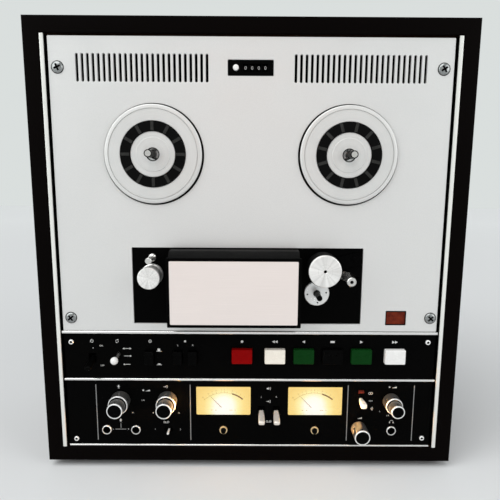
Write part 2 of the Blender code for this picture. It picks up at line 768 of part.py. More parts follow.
def chassis():
    """A pressed steel tray: a front plate behind the panels, two sides and a shelf."""
    half = CHASSIS_HALF
    low = OPENING_LOW + CLEAR
    top = DECK_TOP - RETURN_INSET
    rim = RETURN_INSET + RETURN_THICK + CLEAR
    loops = [rectangle((-half, half), (low, top))]
    window = half - CHASSIS_RIM
    for base, height, lower in ((AMPLIFIER_LOW, AMPLIFIER_HEIGHT, CHASSIS_RIM),
                                (FUNCTION_LOW, FUNCTION_HEIGHT, rim)):
        loops.append(rectangle((-window, window), (base + lower, base + height - rim)))
    bank = VENT_INNER_X + (VENT_SLOTS - 1) * VENT_PITCH / 2
    width = VENT_SLOTS * VENT_PITCH
    for side in (-1, 1):
        loops.append(around(side * bank, (VENT_LOW + VENT_TOP) / 2, width, VENT_HEIGHT))
        loops.append(circle(side * TABLE_X, TABLE_Y, TABLE_HUB_RADIUS + TABLE_GAP))
    loops.append(around(COUNTER_X, COUNTER_Y, COUNTER_WIDTH, 2 * DRUM_RADIUS, 2 * RUN))
    loops.append(circle(CAPSTAN_X, CAPSTAN_Y, SLEEVE_RADIUS + RUN))
    loops.append(circle(TENSION_PIVOT_X, CAPSTAN_Y + TENSION_PIVOT_RISE, TENSION_PIN + RUN, SMALL_SIDES))
    tray = plate("chassis", loops, (CHASSIS_BACK, CHASSIS_FACE))
    depth = (CHASSIS_BACK - CHASSIS_DEPTH, CHASSIS_BACK + CHASSIS_THICK / 2)
    for side in (-1, 1):
        edges = sorted((side * half, side * (half - CHASSIS_THICK)))
        fuse(tray, box(f"chassis_side_{side}", edges, (low, top), depth, cutter=True))
    fuse(tray, box("chassis_shelf", (-half, half), (low, SHELF_TOP), depth, cutter=True))
    finish(tray, STEEL, 0.4, 1.0)


def motor_front():
    """Where the front of a reel motor's flange lies."""
    return CHASSIS_BACK - CLEAR


def reel_table(name, x):
    """A turned aluminium table with a raised hub, its three-ribbed spindle and motor shaft."""
    face = PANEL_FACE + TABLE_PROUD
    groove = face - MAT_RECESS
    hub = face + MAT_THICK - MAT_RECESS
    tip = SPINDLE_REACH
    back = face - TABLE_RIM_DEPTH
    web = face - TABLE_WEB
    hub_back = CHASSIS_FACE + TABLE_GAP
    shaft_back = motor_front() - SHAFT_IN_MOTOR
    slope = TABLE_RADIUS - TABLE_FACE_RADIUS
    profile = [
        (0, tip), (SPINDLE_TIP_RADIUS / 2, tip), (SPINDLE_TIP_RADIUS, tip - SPINDLE_TIP / 4),
        (SPINDLE_TIP_RADIUS, tip - SPINDLE_TIP), (SPINDLE_RADIUS, tip - SPINDLE_TIP - HUB_STEP),
        (SPINDLE_RADIUS, hub), (HUB_STEP_RADIUS, hub), (HUB_STEP_RADIUS + HUB_STEP, hub - HUB_STEP),
        (MAT_INNER - CLEAR, hub - HUB_STEP), (MAT_INNER - CLEAR, groove),
        (MAT_OUTER + CLEAR, groove), (MAT_OUTER + CLEAR, face), (TABLE_FACE_RADIUS, face),
        (TABLE_RADIUS, face - slope / 2), (TABLE_RADIUS, back),
        (TABLE_FACE_RADIUS, back), (TABLE_FACE_RADIUS, web - slope / 2),
        (TABLE_FACE_RADIUS - slope, web),
        (TABLE_HUB_RADIUS, web), (TABLE_HUB_RADIUS, hub_back), (SHAFT_RADIUS, hub_back),
        (SHAFT_RADIUS, shaft_back), (0, shaft_back),
    ]
    table = turned(name, (x, TABLE_Y), profile, LARGE_SIDES)
    for i in range(3):
        rib = box(f"{name}_rib_{i}", (0, SPINDLE_RIB_REACH),
                  (-SPINDLE_RIB_WIDTH / 2, SPINDLE_RIB_WIDTH / 2),
                  (hub - HUB_STEP, hub + SPINDLE_RIB_HEIGHT), cutter=True)
        rib.location = (x, TABLE_Y, 0)
        rib.rotation_euler = (0, 0, math.radians(90 + 120 * i))
        fuse(table, rib)
    finish(table, SILVER, 0.3, 1.0)


def reel_mat(name, x):
    """A rubber ring with radial ribs, set in the table's groove."""
    low = PANEL_FACE + TABLE_PROUD - MAT_RECESS + CLEAR
    high = low + MAT_THICK
    profile = [(MAT_INNER, high), (MAT_OUTER, high), (MAT_OUTER, low), (MAT_INNER, low)]
    mat = turned(name, (x, TABLE_Y), profile, LARGE_SIDES, closed=True)
    margin = MAT_RIB_WIDTH
    for i in range(MAT_RIBS):
        rib = box(f"{name}_rib_{i}", (MAT_INNER + margin, MAT_OUTER - margin),
                  (-MAT_RIB_WIDTH / 2, MAT_RIB_WIDTH / 2),
                  (high - MAT_THICK / 2, high + MAT_RIB_HEIGHT), cutter=True)
        rib.location = (x, TABLE_Y, 0)
        rib.rotation_euler = (0, 0, 2 * math.pi * i / MAT_RIBS)
        fuse(mat, rib)
    finish(mat, RUBBER, 0.75)


def reel_motor(name, x):
    """A round motor on the back of the chassis, bored for the table's shaft."""
    front = motor_front()
    back = front - REEL_MOTOR_LENGTH
    rim = REEL_MOTOR_RADIUS
    bore = SHAFT_RADIUS + RUN
    floor = front - SHAFT_IN_MOTOR - TABLE_GAP
    profile = [
        (0, floor), (bore, floor), (bore, front), (rim + MOTOR_FLANGE_REACH, front),
        (rim + MOTOR_FLANGE_REACH, front - MOTOR_FLANGE), (rim, front - MOTOR_FLANGE),
        (rim, back + MOTOR_FLANGE), (rim - MOTOR_FLANGE, back), (0, back),
    ]
    finish(turned(name, (x, TABLE_Y), profile), STEEL, 0.4, 1.0)


def drum_place(index):
    """The x of a counter drum's middle."""
    return COUNTER_X + DRUM_FIRST_X + index * DRUM_PITCH


def counter():
    """The counter's frame with its carry drums, the units drum and the reset button."""
    face = PANEL_FACE + COUNTER_FACE
    back = face - COUNTER_PLATE
    axle_z = back - RUN - DRUM_RADIUS
    left = drum_place(0) - DRUM_PITCH / 2
    right = drum_place(DRUM_COUNT - 1) + DRUM_PITCH / 2
    reset_x = COUNTER_X + RESET_X
    window = around((left + right) / 2, COUNTER_Y, right - left, DRUM_WINDOW)
    outer = around(COUNTER_X, COUNTER_Y, COUNTER_WIDTH, COUNTER_HEIGHT, -CLEAR)
    hole = circle(reset_x, COUNTER_Y, RESET_RADIUS + RUN)
    frame = plate("counter_frame", [outer, window, hole], (back, face))
    reach = COUNTER_HEIGHT / 2 - CHEEK_THICK
    for edge, outward in ((left, -1), (right, 1)):
        cheek = sorted((edge + outward * CLEAR, edge + outward * (CLEAR + CHEEK_THICK)))
        fuse(frame, box(f"cheek_{outward}", cheek, (COUNTER_Y - reach, COUNTER_Y + reach),
                        (axle_z - 2 * DRUM_AXLE, back + COUNTER_PLATE / 2), cutter=True))
    fuse(frame, crossbar("counter_axle", (left - CHEEK_THICK, right + CHEEK_THICK), COUNTER_Y,
                         axle_z, DRUM_AXLE, cutter=True))
    half = DRUM_WIDTH / 2
    for i in range(DRUM_COUNT - 1):
        x = drum_place(i)
        fuse(frame, crossbar(f"carry_drum_{i}", (x - half, x + half), COUNTER_Y, axle_z,
                             DRUM_RADIUS, MEDIUM_SIDES, cutter=True))
    finish(frame, BLACK, 0.5)
    x = drum_place(DRUM_COUNT - 1)
    drum = crossbar("units_drum", (x - half, x + half), COUNTER_Y, axle_z, DRUM_RADIUS,
                    MEDIUM_SIDES)
    cut(drum, crossbar("units_bore", (x - DRUM_WIDTH, x + DRUM_WIDTH), COUNTER_Y, axle_z,
                       DRUM_AXLE + RUN, cutter=True))
    finish(drum, BLACK, 0.5)
    flange = back - CLEAR
    profile = [
        (0, face + RESET_PROUD), (RESET_RADIUS - KNOB_RIM, face + RESET_PROUD),
        (RESET_RADIUS, face + RESET_PROUD - KNOB_RIM), (RESET_RADIUS, flange),
        (RESET_RADIUS + RESET_FLANGE, flange), (RESET_RADIUS + RESET_FLANGE, flange - RESET_FLANGE),
        (0, flange - RESET_FLANGE),
    ]
    finish(turned("counter_reset", (reset_x, COUNTER_Y), profile), (0.8, 0.8, 0.78), 0.35)


def lamp():
    """The amber lens in the deck panel."""
    x = (LAMP_X - LAMP_WIDTH / 2, LAMP_X + LAMP_WIDTH / 2)
    middle = DECK_LOW + LAMP_RISE
    y = (middle - LAMP_HEIGHT / 2, middle + LAMP_HEIGHT / 2)
    lens = box("tape_lamp", x, y, (PANEL_FACE - LAMP_DEPTH, PANEL_FACE + CLEAR))
    finish(lens, (0.45, 0.13, 0.03), 0.25)


def tension_pivot():
    """The tension arm's pivot."""
    return (TENSION_PIVOT_X, CAPSTAN_Y + TENSION_PIVOT_RISE)


def tension_slot():
    """The curved slot that the tension post swings in."""
    x, y = tension_pivot()
    across = (TENSION_X - x, CAPSTAN_Y + TENSION_RISE - y)
    length = math.hypot(*across)
    rest = math.atan2(across[1], across[0])
    half = TENSION_RADIUS + 2 * RUN
    spare = half / length
    ends = (rest - TENSION_SWING - spare, rest + spare)
    steps = 8
    turns = [ends[0] + (ends[1] - ends[0]) * i / steps for i in range(steps + 1)]
    outer = [(x + (length + half) * math.cos(t), y + (length + half) * math.sin(t)) for t in turns]
    inner = [(x + (length - half) * math.cos(t), y + (length - half) * math.sin(t)) for t in turns]
    return outer + inner[::-1]


def pinch_pivot():
    """The pinch arm's pivot."""
    return (PINCH_PIVOT_X, CAPSTAN_Y + PINCH_PIVOT_RISE)


def head_deck():
    """The black plate under the tape path, with its pillars, guide post and roller pin."""
    half = HEAD_DECK_WIDTH / 2
    top = HEAD_LOW + HEAD_DECK_HEIGHT
    loops = [
        rectangle((HEAD_LEFT, HEAD_RIGHT), (HEAD_LOW, top)),
        circle(CAPSTAN_X, CAPSTAN_Y, SLEEVE_RADIUS + RUN),
        circle(*pinch_pivot(), PINCH_PIVOT_RADIUS + RUN, SMALL_SIDES),
        tension_slot(),
    ]
    deck = plate("head_deck", loops, (HEAD_BACK, HEAD_FACE))
    middle = HEAD_FACE - HEAD_DECK_THICK / 2
    for side in (-1, 1):
        x = HEAD_DECK_X + side * (half - PILLAR_INSET_X)
        for row, y in (("low", HEAD_LOW + PILLAR_INSET_Y), ("high", top - PILLAR_INSET_Y)):
            fuse(deck, cylinder(f"pillar_{row}_{side}", (x, y), PILLAR_RADIUS,
                                (RETURN_BACK, middle), SMALL_SIDES, cutter=True))
    pin_tip = ROLLER_PROUD - 2 * GUIDE_RADIUS
    fuse(deck, cylinder("roller_pin", (ROLLER_X, DECK_LOW + ROLLER_HEIGHT), ROLLER_PIN,
                        (middle, pin_tip), SMALL_SIDES, cutter=True))
    flange = HEAD_FACE + GUIDE_RADIUS
    cap = GUIDE_PROUD - GUIDE_RADIUS
    profile = [
        (0, GUIDE_PROUD), (GUIDE_RADIUS, GUIDE_PROUD), (GUIDE_FLANGE, GUIDE_PROUD - GUIDE_RADIUS / 2),
        (GUIDE_FLANGE, cap), (GUIDE_RADIUS, cap - GUIDE_RADIUS / 2), (GUIDE_RADIUS, flange),
        (GUIDE_FLANGE, flange - GUIDE_RADIUS / 2), (GUIDE_FLANGE, middle), (0, middle),
    ]
    fuse(deck, turned("guide_post", (GUIDE_X, DECK_LOW + GUIDE_HEIGHT), profile, SMALL_SIDES,
                      cutter=True))
    finish(deck, BLACK, 0.5)


def guide_roller():
    """The bright roller that turns on the head deck's pin."""
    back = HEAD_FACE + CLEAR
    bore = ROLLER_PIN + RUN
    floor = ROLLER_PROUD - 2 * GUIDE_RADIUS + RUN
    edge = ROLLER_RADIUS / 8
    profile = [
        (0, ROLLER_PROUD), (ROLLER_RADIUS - edge, ROLLER_PROUD), (ROLLER_RADIUS, ROLLER_PROUD - edge),
        (ROLLER_RADIUS, back), (bore, back), (bore, floor), (0, floor),
    ]
    roller = turned("guide_roller", (ROLLER_X, DECK_LOW + ROLLER_HEIGHT), profile)
    finish(roller, CHROME, 0.15, 1.0)


def heads():
    """Three tape heads with round noses over the tape, on one mounting plate."""
    back = HEAD_FACE + CLEAR
    front = back + HEAD_PLATE_THICK
    low = TAPE_Y + HEAD_NOSE
    half = HEAD_PLATE_WIDTH / 2
    mount = box("tape_heads", (COVER_X - half, COVER_X + half),
                (low + HEAD_SHIELD, low + HEAD_SHIELD + HEAD_HEIGHT), (back, front))
    steps = 6
    turns = [math.pi + math.pi * i / steps for i in range(steps + 1)]
    for i in (-1, 0, 1):
        x = COVER_X + i * HEAD_PITCH
        nose = [(x + HEAD_WIDTH / 2 * math.cos(t), low + HEAD_NOSE * (1 + math.sin(t)))
                for t in turns]
        top = low + HEAD_HEIGHT
        outline = [*nose, (x + HEAD_WIDTH / 2, top), (x - HEAD_WIDTH / 2, top)]
        fuse(mount, plate(f"head_{i}", [outline], (front - HEAD_PLATE_THICK / 2, front + HEAD_DEPTH),
                          cutter=True))
    finish(mount, STEEL, 0.3, 1.0)


def prism(name, outline, x, cutter=False):
    """An outline of (z, y) points carried along x."""
    thing = plate(name, [[(-z, y) for z, y in outline]], x, cutter=cutter)
    thing.rotation_euler = (0, math.pi / 2, 0)
    return thing


def cover_outline(inset, front, back):
    """The head cover's section: a box with its top front corner bevelled."""
    low = DECK_LOW + COVER_LOW + inset
    high = DECK_LOW + COVER_LOW + COVER_HEIGHT - inset
    return [(back, low), (front, low), (front, high - COVER_BEVEL_DROP),
            (front - COVER_BEVEL_RUN, high), (back, high)]


def head_cover():
    """The hollow cover over the heads, with tape slots in its sides and a face plate."""
    back = HEAD_FACE + CLEAR
    body_half = COVER_WIDTH / 2 - COVER_LIP
    cover = prism("head_cover", cover_outline(0, COVER_PROUD, back),
                  (COVER_X - body_half, COVER_X + body_half))
    low = DECK_LOW + COVER_LOW
    lip_top = low + COVER_HEIGHT - COVER_BEVEL_DROP - CLEAR
    half = COVER_WIDTH / 2
    fuse(cover, box("cover_lip", (COVER_X - half, COVER_X + half), (low - CLEAR, lip_top),
                    (COVER_PROUD - COVER_LIP_DEPTH, COVER_PROUD + CLEAR), cutter=True))
    pocket = COVER_PROUD - COVER_PLATE_THICK - CLEAR
    wall = body_half - COVER_WALL
    cut(cover, prism("cover_hollow", cover_outline(COVER_WALL, pocket - COVER_WALL, back - BOARD),
                     (COVER_X - wall, COVER_X + wall), cutter=True))
    cut(cover, box("tape_slot", (COVER_X - COVER_WIDTH, COVER_X + COVER_WIDTH),
                   (TAPE_Y - COVER_SLOT / 2, TAPE_Y + COVER_SLOT / 2),
                   (back - BOARD, TAPE_OUT + COVER_SLOT / 2), cutter=True))
    border = COVER_PLATE_BORDER
    x = (COVER_X - half + border, COVER_X + half - border)
    y = (low + border, lip_top - border)
    cut(cover, box("plate_pocket", x, y, (pocket, COVER_PROUD + BOARD), cutter=True))
    finish(cover, BLACK, 0.45)
    face = box("head_cover_plate", (x[0] + CLEAR, x[1] - CLEAR), (y[0] + CLEAR, y[1] - CLEAR),
               (pocket + CLEAR, COVER_PROUD + CLEAR))
    finish(face, SILVER, 0.35, 0.9)


def flywheel_front():
    """Where the flywheel's front face lies."""
    return CHASSIS_BACK - FLYWHEEL_BACK_GAP


def belt_plane():
    """The z of the belt's middle."""
    return flywheel_front() - FLYWHEEL_THICK / 2


def motor_place():
    """The capstan motor's axis."""
    return (CAPSTAN_MOTOR_X, CAPSTAN_Y + CAPSTAN_MOTOR_RISE)


def capstan_bearing():
    """The pale disc on the head deck and the long sleeve behind it."""
    seat = HEAD_FACE + CLEAR
    front = seat + BEARING_DISC
    back = flywheel_front() + CLEAR
    bore = CAPSTAN_RADIUS + RUN
    edge = BEARING_DISC / 3
    profile = [
        (bore, front), (BEARING_RADIUS - edge, front), (BEARING_RADIUS, front - edge),
        (BEARING_RADIUS, seat), (SLEEVE_RADIUS, seat), (SLEEVE_RADIUS, back), (bore, back),
    ]
    disc = turned("capstan_bearing", (CAPSTAN_X, CAPSTAN_Y), profile, closed=True)
    finish(disc, (0.75, 0.74, 0.70), 0.35)


def capstan_flywheel():
    """The capstan shaft in its flywheel."""
    tip = CAPSTAN_PROUD
    edge = CAPSTAN_RADIUS / 4
    front = flywheel_front()
    back = front - FLYWHEEL_THICK
    sink = (FLYWHEEL_THICK - FLYWHEEL_WEB) / 2
    rim = FLYWHEEL_RADIUS - FLYWHEEL_RIM
    profile = [
        (0, tip), (CAPSTAN_RADIUS - edge, tip), (CAPSTAN_RADIUS, tip - edge),
        (CAPSTAN_RADIUS, front), (FLYWHEEL_HUB, front), (FLYWHEEL_HUB, front - sink),
        (rim, front - sink), (rim, front), (FLYWHEEL_RADIUS, front), (FLYWHEEL_RADIUS, back),
        (rim, back), (rim, back + sink), (FLYWHEEL_HUB, back + sink), (FLYWHEEL_HUB, back), (0, back),
    ]
    finish(turned("capstan_flywheel", (CAPSTAN_X, CAPSTAN_Y), profile, LARGE_SIDES), STEEL, 0.25, 1.0)


def capstan_motor():
    """The capstan's motor on the chassis, its shaft, and the pulley that turns on it."""
    front = motor_front()
    back = front - CAPSTAN_MOTOR_LENGTH
    rim = CAPSTAN_MOTOR_RADIUS
    end = belt_plane() - PULLEY_LENGTH / 2 - CLEAR
    profile = [
        (0, front), (rim + MOTOR_FLANGE_REACH, front), (rim + MOTOR_FLANGE_REACH, front - MOTOR_FLANGE),
        (rim, front - MOTOR_FLANGE), (rim, back + MOTOR_FLANGE), (rim - MOTOR_FLANGE, back),
        (SHAFT_RADIUS, back), (SHAFT_RADIUS, end), (0, end),
    ]
    finish(turned("capstan_motor", motor_place(), profile), STEEL, 0.4, 1.0)
    half = PULLEY_LENGTH / 2
    middle = belt_plane()
    bore = SHAFT_RADIUS + RUN
    lip = PULLEY_RADIUS + BELT_THICK + PULLEY_FLANGE
    groove = half - PULLEY_FLANGE
    profile = [
        (bore, middle + half), (lip, middle + half), (lip, middle + groove),
        (PULLEY_RADIUS, middle + groove), (PULLEY_RADIUS, middle - groove),
        (lip, middle - groove), (lip, middle - half), (bore, middle - half),
    ]
    finish(turned("motor_pulley", motor_place(), profile, closed=True), (0.7, 0.6, 0.35), 0.3, 1.0)


def wrap(first, first_radius, second, second_radius, steps=MEDIUM_SIDES // 2):
    """The outline of a band pulled tight round two circles, its facets outside the circles."""
    across = (second[0] - first[0], second[1] - first[1])
    lean = math.atan2(across[1], across[0])
    touch = math.acos((first_radius - second_radius) / math.hypot(*across))
    points = []
    spans = ((first, first_radius, lean + touch, lean + 2 * math.pi - touch),
             (second, second_radius, lean - touch, lean + touch))
    for centre, radius, start, end in spans:
        step = (end - start) / steps
        reach = radius / math.cos(step / 2)
        for i in range(steps + 1):
            turn = start + step * i
            points.append((centre[0] + reach * math.cos(turn), centre[1] + reach * math.sin(turn)))
    return points


def drive_belt():
    """A flat belt from the motor's pulley round the flywheel."""
    pulley = motor_place()
    wheel = (CAPSTAN_X, CAPSTAN_Y)
    inner = wrap(pulley, PULLEY_RADIUS + CLEAR, wheel, FLYWHEEL_RADIUS + CLEAR, LARGE_SIDES // 2)
    spread = CLEAR + BELT_THICK
    outer = wrap(pulley, PULLEY_RADIUS + spread, wheel, FLYWHEEL_RADIUS + spread, LARGE_SIDES // 2)
    middle = belt_plane()
    belt = plate("drive_belt", [outer, inner], (middle - BELT_WIDTH / 2, middle + BELT_WIDTH / 2))
    finish(belt, RUBBER, 0.7)


def pinch_roller():
    """The rubber roller, and the arm with its axle, end cap and pivot pin."""
    pivot = pinch_pivot()
    place = (PINCH_X, CAPSTAN_Y + PINCH_RISE)
    back = HEAD_FACE + CLEAR
    front = back + PINCH_ARM_THICK
    cap_back = PINCH_PROUD - PINCH_CAP_THICK
    middle = (back + front) / 2
    strap = wrap(place, PINCH_ARM_END, pivot, PINCH_ARM_END)
    arm = plate("pinch_arm", [strap], (back, front), pivot=(*pivot, 0))
    fuse(arm, cylinder("pinch_axle", place, PINCH_AXLE, (middle, cap_back + PINCH_CAP_THICK / 2),
                       SMALL_SIDES, cutter=True))
    edge = PINCH_CAP_THICK / 2
    hole = PINCH_PROUD - PINCH_CAP_THICK / 2
    profile = [
        (0, hole), (PINCH_HOLE, hole), (PINCH_HOLE, PINCH_PROUD), (PINCH_CAP_RADIUS - edge, PINCH_PROUD),
        (PINCH_CAP_RADIUS, PINCH_PROUD - edge), (PINCH_CAP_RADIUS, cap_back), (0, cap_back),
    ]
    fuse(arm, turned("pinch_cap", place, profile, LARGE_SIDES, cutter=True))
    fuse(arm, cylinder("pinch_pin", pivot, PINCH_PIVOT_RADIUS, (HEAD_BACK, middle), SMALL_SIDES,
                       cutter=True))
    finish(arm, SILVER, 0.3, 1.0)
    bore = PINCH_AXLE + RUN
    near = front + RUN
    far = cap_back - RUN
    profile = [(bore, far), (PINCH_RADIUS, far), (PINCH_RADIUS, near), (bore, near)]
    finish(turned("pinch_roller", place, profile, LARGE_SIDES, closed=True), RUBBER, 0.7)


def tension_arm():
    """The arm behind the head deck, its pin in the chassis and its tape post."""
    pivot = tension_pivot()
    post = (TENSION_X, CAPSTAN_Y + TENSION_RISE)
    front = HEAD_BACK - RUN
    back = front - TENSION_ARM_THICK
    middle = (front + back) / 2
    half = TENSION_ARM_WIDTH / 2
    arm = plate("tension_arm", [wrap(pivot, half, post, half)], (back, front), pivot=(*pivot, 0))
    flange = TENSION_FLANGE_THICK
    tip = TENSION_PROUD
    low = HEAD_FACE + CLEAR
    profile = [
        (0, tip), (TENSION_FLANGE - flange / 2, tip), (TENSION_FLANGE, tip - flange / 2),
        (TENSION_FLANGE, tip - flange), (TENSION_RADIUS, tip - 2 * flange),
        (TENSION_RADIUS, low + 2 * flange), (TENSION_FLANGE, low + flange), (TENSION_FLANGE, low),
        (TENSION_RADIUS, low), (TENSION_RADIUS, middle), (0, middle),
    ]
    fuse(arm, turned("tension_post", post, profile, SMALL_SIDES, cutter=True))
    fuse(arm, cylinder("tension_pin", pivot, TENSION_PIN, (CHASSIS_BACK, middle), SMALL_SIDES,
                       cutter=True))
    finish(arm, CHROME, 0.2, 1.0)


def push_button(name, x, y, size, proud, edge, colour):
    """A button in a hole of its panel, kept in by a flange behind it."""
    half = (size[0] / 2, size[1] / 2)
    flange = PANEL_BACK - CLEAR
    pivot = (x, y, PANEL_FACE)
    button = box(name, (x - half[0], x + half[0]), (y - half[1], y + half[1]),
                 (flange - KEY_STEM / 2, PANEL_FACE + proud), pivot)
    bevel(button, edge)
    wide = [(c - h - KEY_FLANGE, c + h + KEY_FLANGE) for c, h in zip((x, y), half)]
    fuse(button, box(name + "_flange", wide[0], wide[1], (flange - KEY_STEM, flange), pivot, True))
    finish(button, colour, 0.35)


def buttons():
    """The six transport keys and the three small push buttons."""
    green = (0.13, 0.30, 0.12)
    white = (0.72, 0.72, 0.68)
    colours = {"record_key": (0.45, 0.03, 0.04), "rewind_key": white, "reverse_key": green,
               "stop_key": BLACK, "play_key": green, "forward_key": white}
    for name, x in key_places().items():
        push_button(name, x, FUNCTION_LOW + KEY_ROW, (KEY_WIDTH, KEY_HEIGHT), KEY_PROUD, KEY_EDGE,
                    colours[name])
    for name, x in small_button_places().items():
        push_button(name, x, FUNCTION_LOW + SMALL_ROW, (SMALL_WIDTH, SMALL_HEIGHT), SMALL_PROUD,
                    KEY_EDGE / 2, BLACK)


def lever(name, x, y, size, reach, rest=0.0, sideways=False):
    """A bat that swings in its slot about a hub behind the panel."""
    pivot = (x, y, PANEL_BACK - LEVER_PIVOT_DEPTH)
    half = (size[0] / 2, size[1] / 2)
    bat = box(name, (x - half[0], x + half[0]), (y - half[1], y + half[1]), (pivot[2], reach), pivot)
    bevel(bat, LEVER_THICK / 5)
    reach_x = half[0] + LEVER_HUB_RADIUS / 2
    hub = crossbar(name + "_hub", (x - reach_x, x + reach_x), y, pivot[2], LEVER_HUB_RADIUS,
                   pivot=pivot, cutter=True)
    turn = (rest, 0, math.pi / 2 if sideways else 0)
    bat.rotation_euler = turn
    hub.rotation_euler = turn
    fuse(bat, hub)
    return bat


def levers():
    """Every lever of the two black panels."""
    thin = (LEVER_WIDTH, LEVER_THICK)
    paddle = (PADDLE_WIDTH, PADDLE_THICK)
    power = lever("power_switch", POWER_X, FUNCTION_LOW + POWER_ROW, paddle, PADDLE_REACH, POWER_REST)
    finish(power, BLACK, 0.35)
    auto_y = FUNCTION_LOW + AUTO_ROW
    auto = lever("auto_reverse_lever", AUTO_X, auto_y, thin, AUTO_REACH - AUTO_KNOB)
    edge = AUTO_KNOB / 4
    back = AUTO_REACH - 2 * AUTO_KNOB
    profile = [(0, AUTO_REACH), (AUTO_KNOB - edge, AUTO_REACH), (AUTO_KNOB, AUTO_REACH - edge),
               (AUTO_KNOB, back + edge), (AUTO_KNOB - edge, back), (0, back)]
    fuse(auto, turned("auto_knob", (AUTO_X, auto_y), profile, cutter=True))
    finish(auto, (0.75, 0.74, 0.70), 0.35)
    for name, x in monitor_places().items():
        y = AMPLIFIER_LOW + MONITOR_ROW
        finish(lever(name, x, y, paddle, PADDLE_REACH, MONITOR_REST), CHROME, 0.2, 1.0)
    echo = lever("echo_lever", ECHO_X, AMPLIFIER_LOW + ECHO_ROW, thin, PADDLE_REACH)
    finish(echo, CHROME, 0.2, 1.0)
    selector = lever("tape_selector", SELECTOR_X, AMPLIFIER_LOW + SELECTOR_ROW, thin, SELECTOR_REACH,
                     sideways=True)
    finish(selector, (0.7, 0.7, 0.68), 0.35)


def knob(name, x, y, radius, front, back, shaft_back):
    """A turned knob with a dished end and its shaft through the panel."""
    rim = KNOB_RIM
    profile = [
        (0, front - KNOB_DISH), (radius - rim - KNOB_DISH, front - KNOB_DISH), (radius - rim, front),
        (radius, front - rim), (radius, back), (KNOB_SHAFT, back), (KNOB_SHAFT, shaft_back),
        (0, shaft_back),
    ]
    finish(turned(name, (x, y), profile), CHROME, 0.2, 1.0)


def ring_knob(name, x, y, radius, front, back, sleeve_back):
    """A knob with a bore for another knob's shaft, and its sleeve through the panel."""
    rim = KNOB_RIM
    bore = KNOB_SHAFT + RUN
    profile = [
        (bore, front), (radius - rim, front), (radius, front - rim), (radius, back),
        (KNOB_SLEEVE, back), (KNOB_SLEEVE, sleeve_back), (bore, sleeve_back),
    ]
    finish(turned(name, (x, y), profile, closed=True), CHROME, 0.2, 1.0)


def knobs():
    """Three pairs of knobs on one axis each, and the single level knob."""
    base = PANEL_FACE + KNOB_LIFT
    sleeve_back = PANEL_BACK - PANEL_THICK
    shaft_back = sleeve_back - PANEL_THICK
    y = AMPLIFIER_LOW + KNOB_ROW
    pairs = (("mic", MIC_X, DUAL_REAR_RADIUS, DUAL_FRONT_RADIUS),
             ("line", LINE_X, DUAL_REAR_RADIUS, DUAL_FRONT_RADIUS),
             ("volume", VOLUME_X, VOLUME_REAR_RADIUS, VOLUME_FRONT_RADIUS))
    for name, x, rear, front in pairs:
        ring_knob(name + "_ring_knob", x, y, rear, DUAL_SPLIT - RUN, base, sleeve_back)
        knob(name + "_knob", x, y, front, DUAL_PROUD, DUAL_SPLIT, shaft_back)
    knob("level_knob", LEVEL_X, AMPLIFIER_LOW + LEVEL_ROW, LEVEL_RADIUS, LEVEL_PROUD, base, shaft_back)


def meters():
    """Two meter cases behind their windows, each with a needle."""
    front = PANEL_BACK - CLEAR
    dial = front - METER_CAVITY
    y = AMPLIFIER_LOW + METER_ROW
    half = (METER_WIDTH / 2, METER_HEIGHT / 2)
    margin = METER_FRAME - METER_WALL
    for side, x in meter_places().items():
        spans = [(c - h, c + h) for c, h in zip((x, y), half)]
        outer = [(low - METER_FRAME, high + METER_FRAME) for low, high in spans]
        inner = [(low - margin, high + margin) for low, high in spans]
        case = box("meter_" + side, outer[0], outer[1], (front - METER_DEPTH, front))
        cut(case, box("meter_hollow_" + side, inner[0], inner[1], (dial, front + BOARD), cutter=True))
        finish(case, (0.80, 0.62, 0.25), 0.5)
        pivot = (x, spans[1][0] + NEEDLE_RISE, dial)
        needle_z = dial + CLEAR + NEEDLE_HUB_LENGTH / 2
        needle = box("needle_" + side, (x - NEEDLE_WIDTH / 2, x + NEEDLE_WIDTH / 2),
                     (pivot[1], pivot[1] + NEEDLE_LENGTH), (needle_z, needle_z + NEEDLE_THICK), pivot)
        hub = cylinder("needle_hub_" + side, pivot[:2], NEEDLE_HUB,
                       (dial + CLEAR, dial + CLEAR + NEEDLE_HUB_LENGTH), SMALL_SIDES, cutter=True)
        needle.rotation_euler = (0, 0, NEEDLE_REST)
        fuse(needle, hub)
        finish(needle, BLACK, 0.5)


def transformer():
    """A mains transformer on the shelf: core, winding and foot plate."""
    half = TRANSFORMER_WIDTH / 2
    low = SHELF_TOP + CLEAR
    high = low + TRANSFORMER_HEIGHT
    stack = TRANSFORMER_STACK / 2
    z = -TRANSFORMER_DEPTH
    core = box("transformer", (TRANSFORMER_X - half, TRANSFORMER_X + half), (low, high),
               (z - stack, z + stack))
    middle = (low + high) / 2
    coil = box("winding", (TRANSFORMER_X - COIL_WIDTH / 2, TRANSFORMER_X + COIL_WIDTH / 2),
               (middle - COIL_HEIGHT / 2, middle + COIL_HEIGHT / 2),
               (z - stack - COIL_BULGE, z + stack + COIL_BULGE), cutter=True)
    bevel(coil, COIL_BULGE / 3)
    foot = half + TRANSFORMER_FOOT
    fuse(core, coil, box("transformer_foot", (TRANSFORMER_X - foot, TRANSFORMER_X + foot),
                         (low - CLEAR / 3, low + CHASSIS_THICK), (z - stack / 2, z + stack / 2),
                         cutter=True))
    finish(core, (0.25, 0.24, 0.23), 0.5, 0.5)


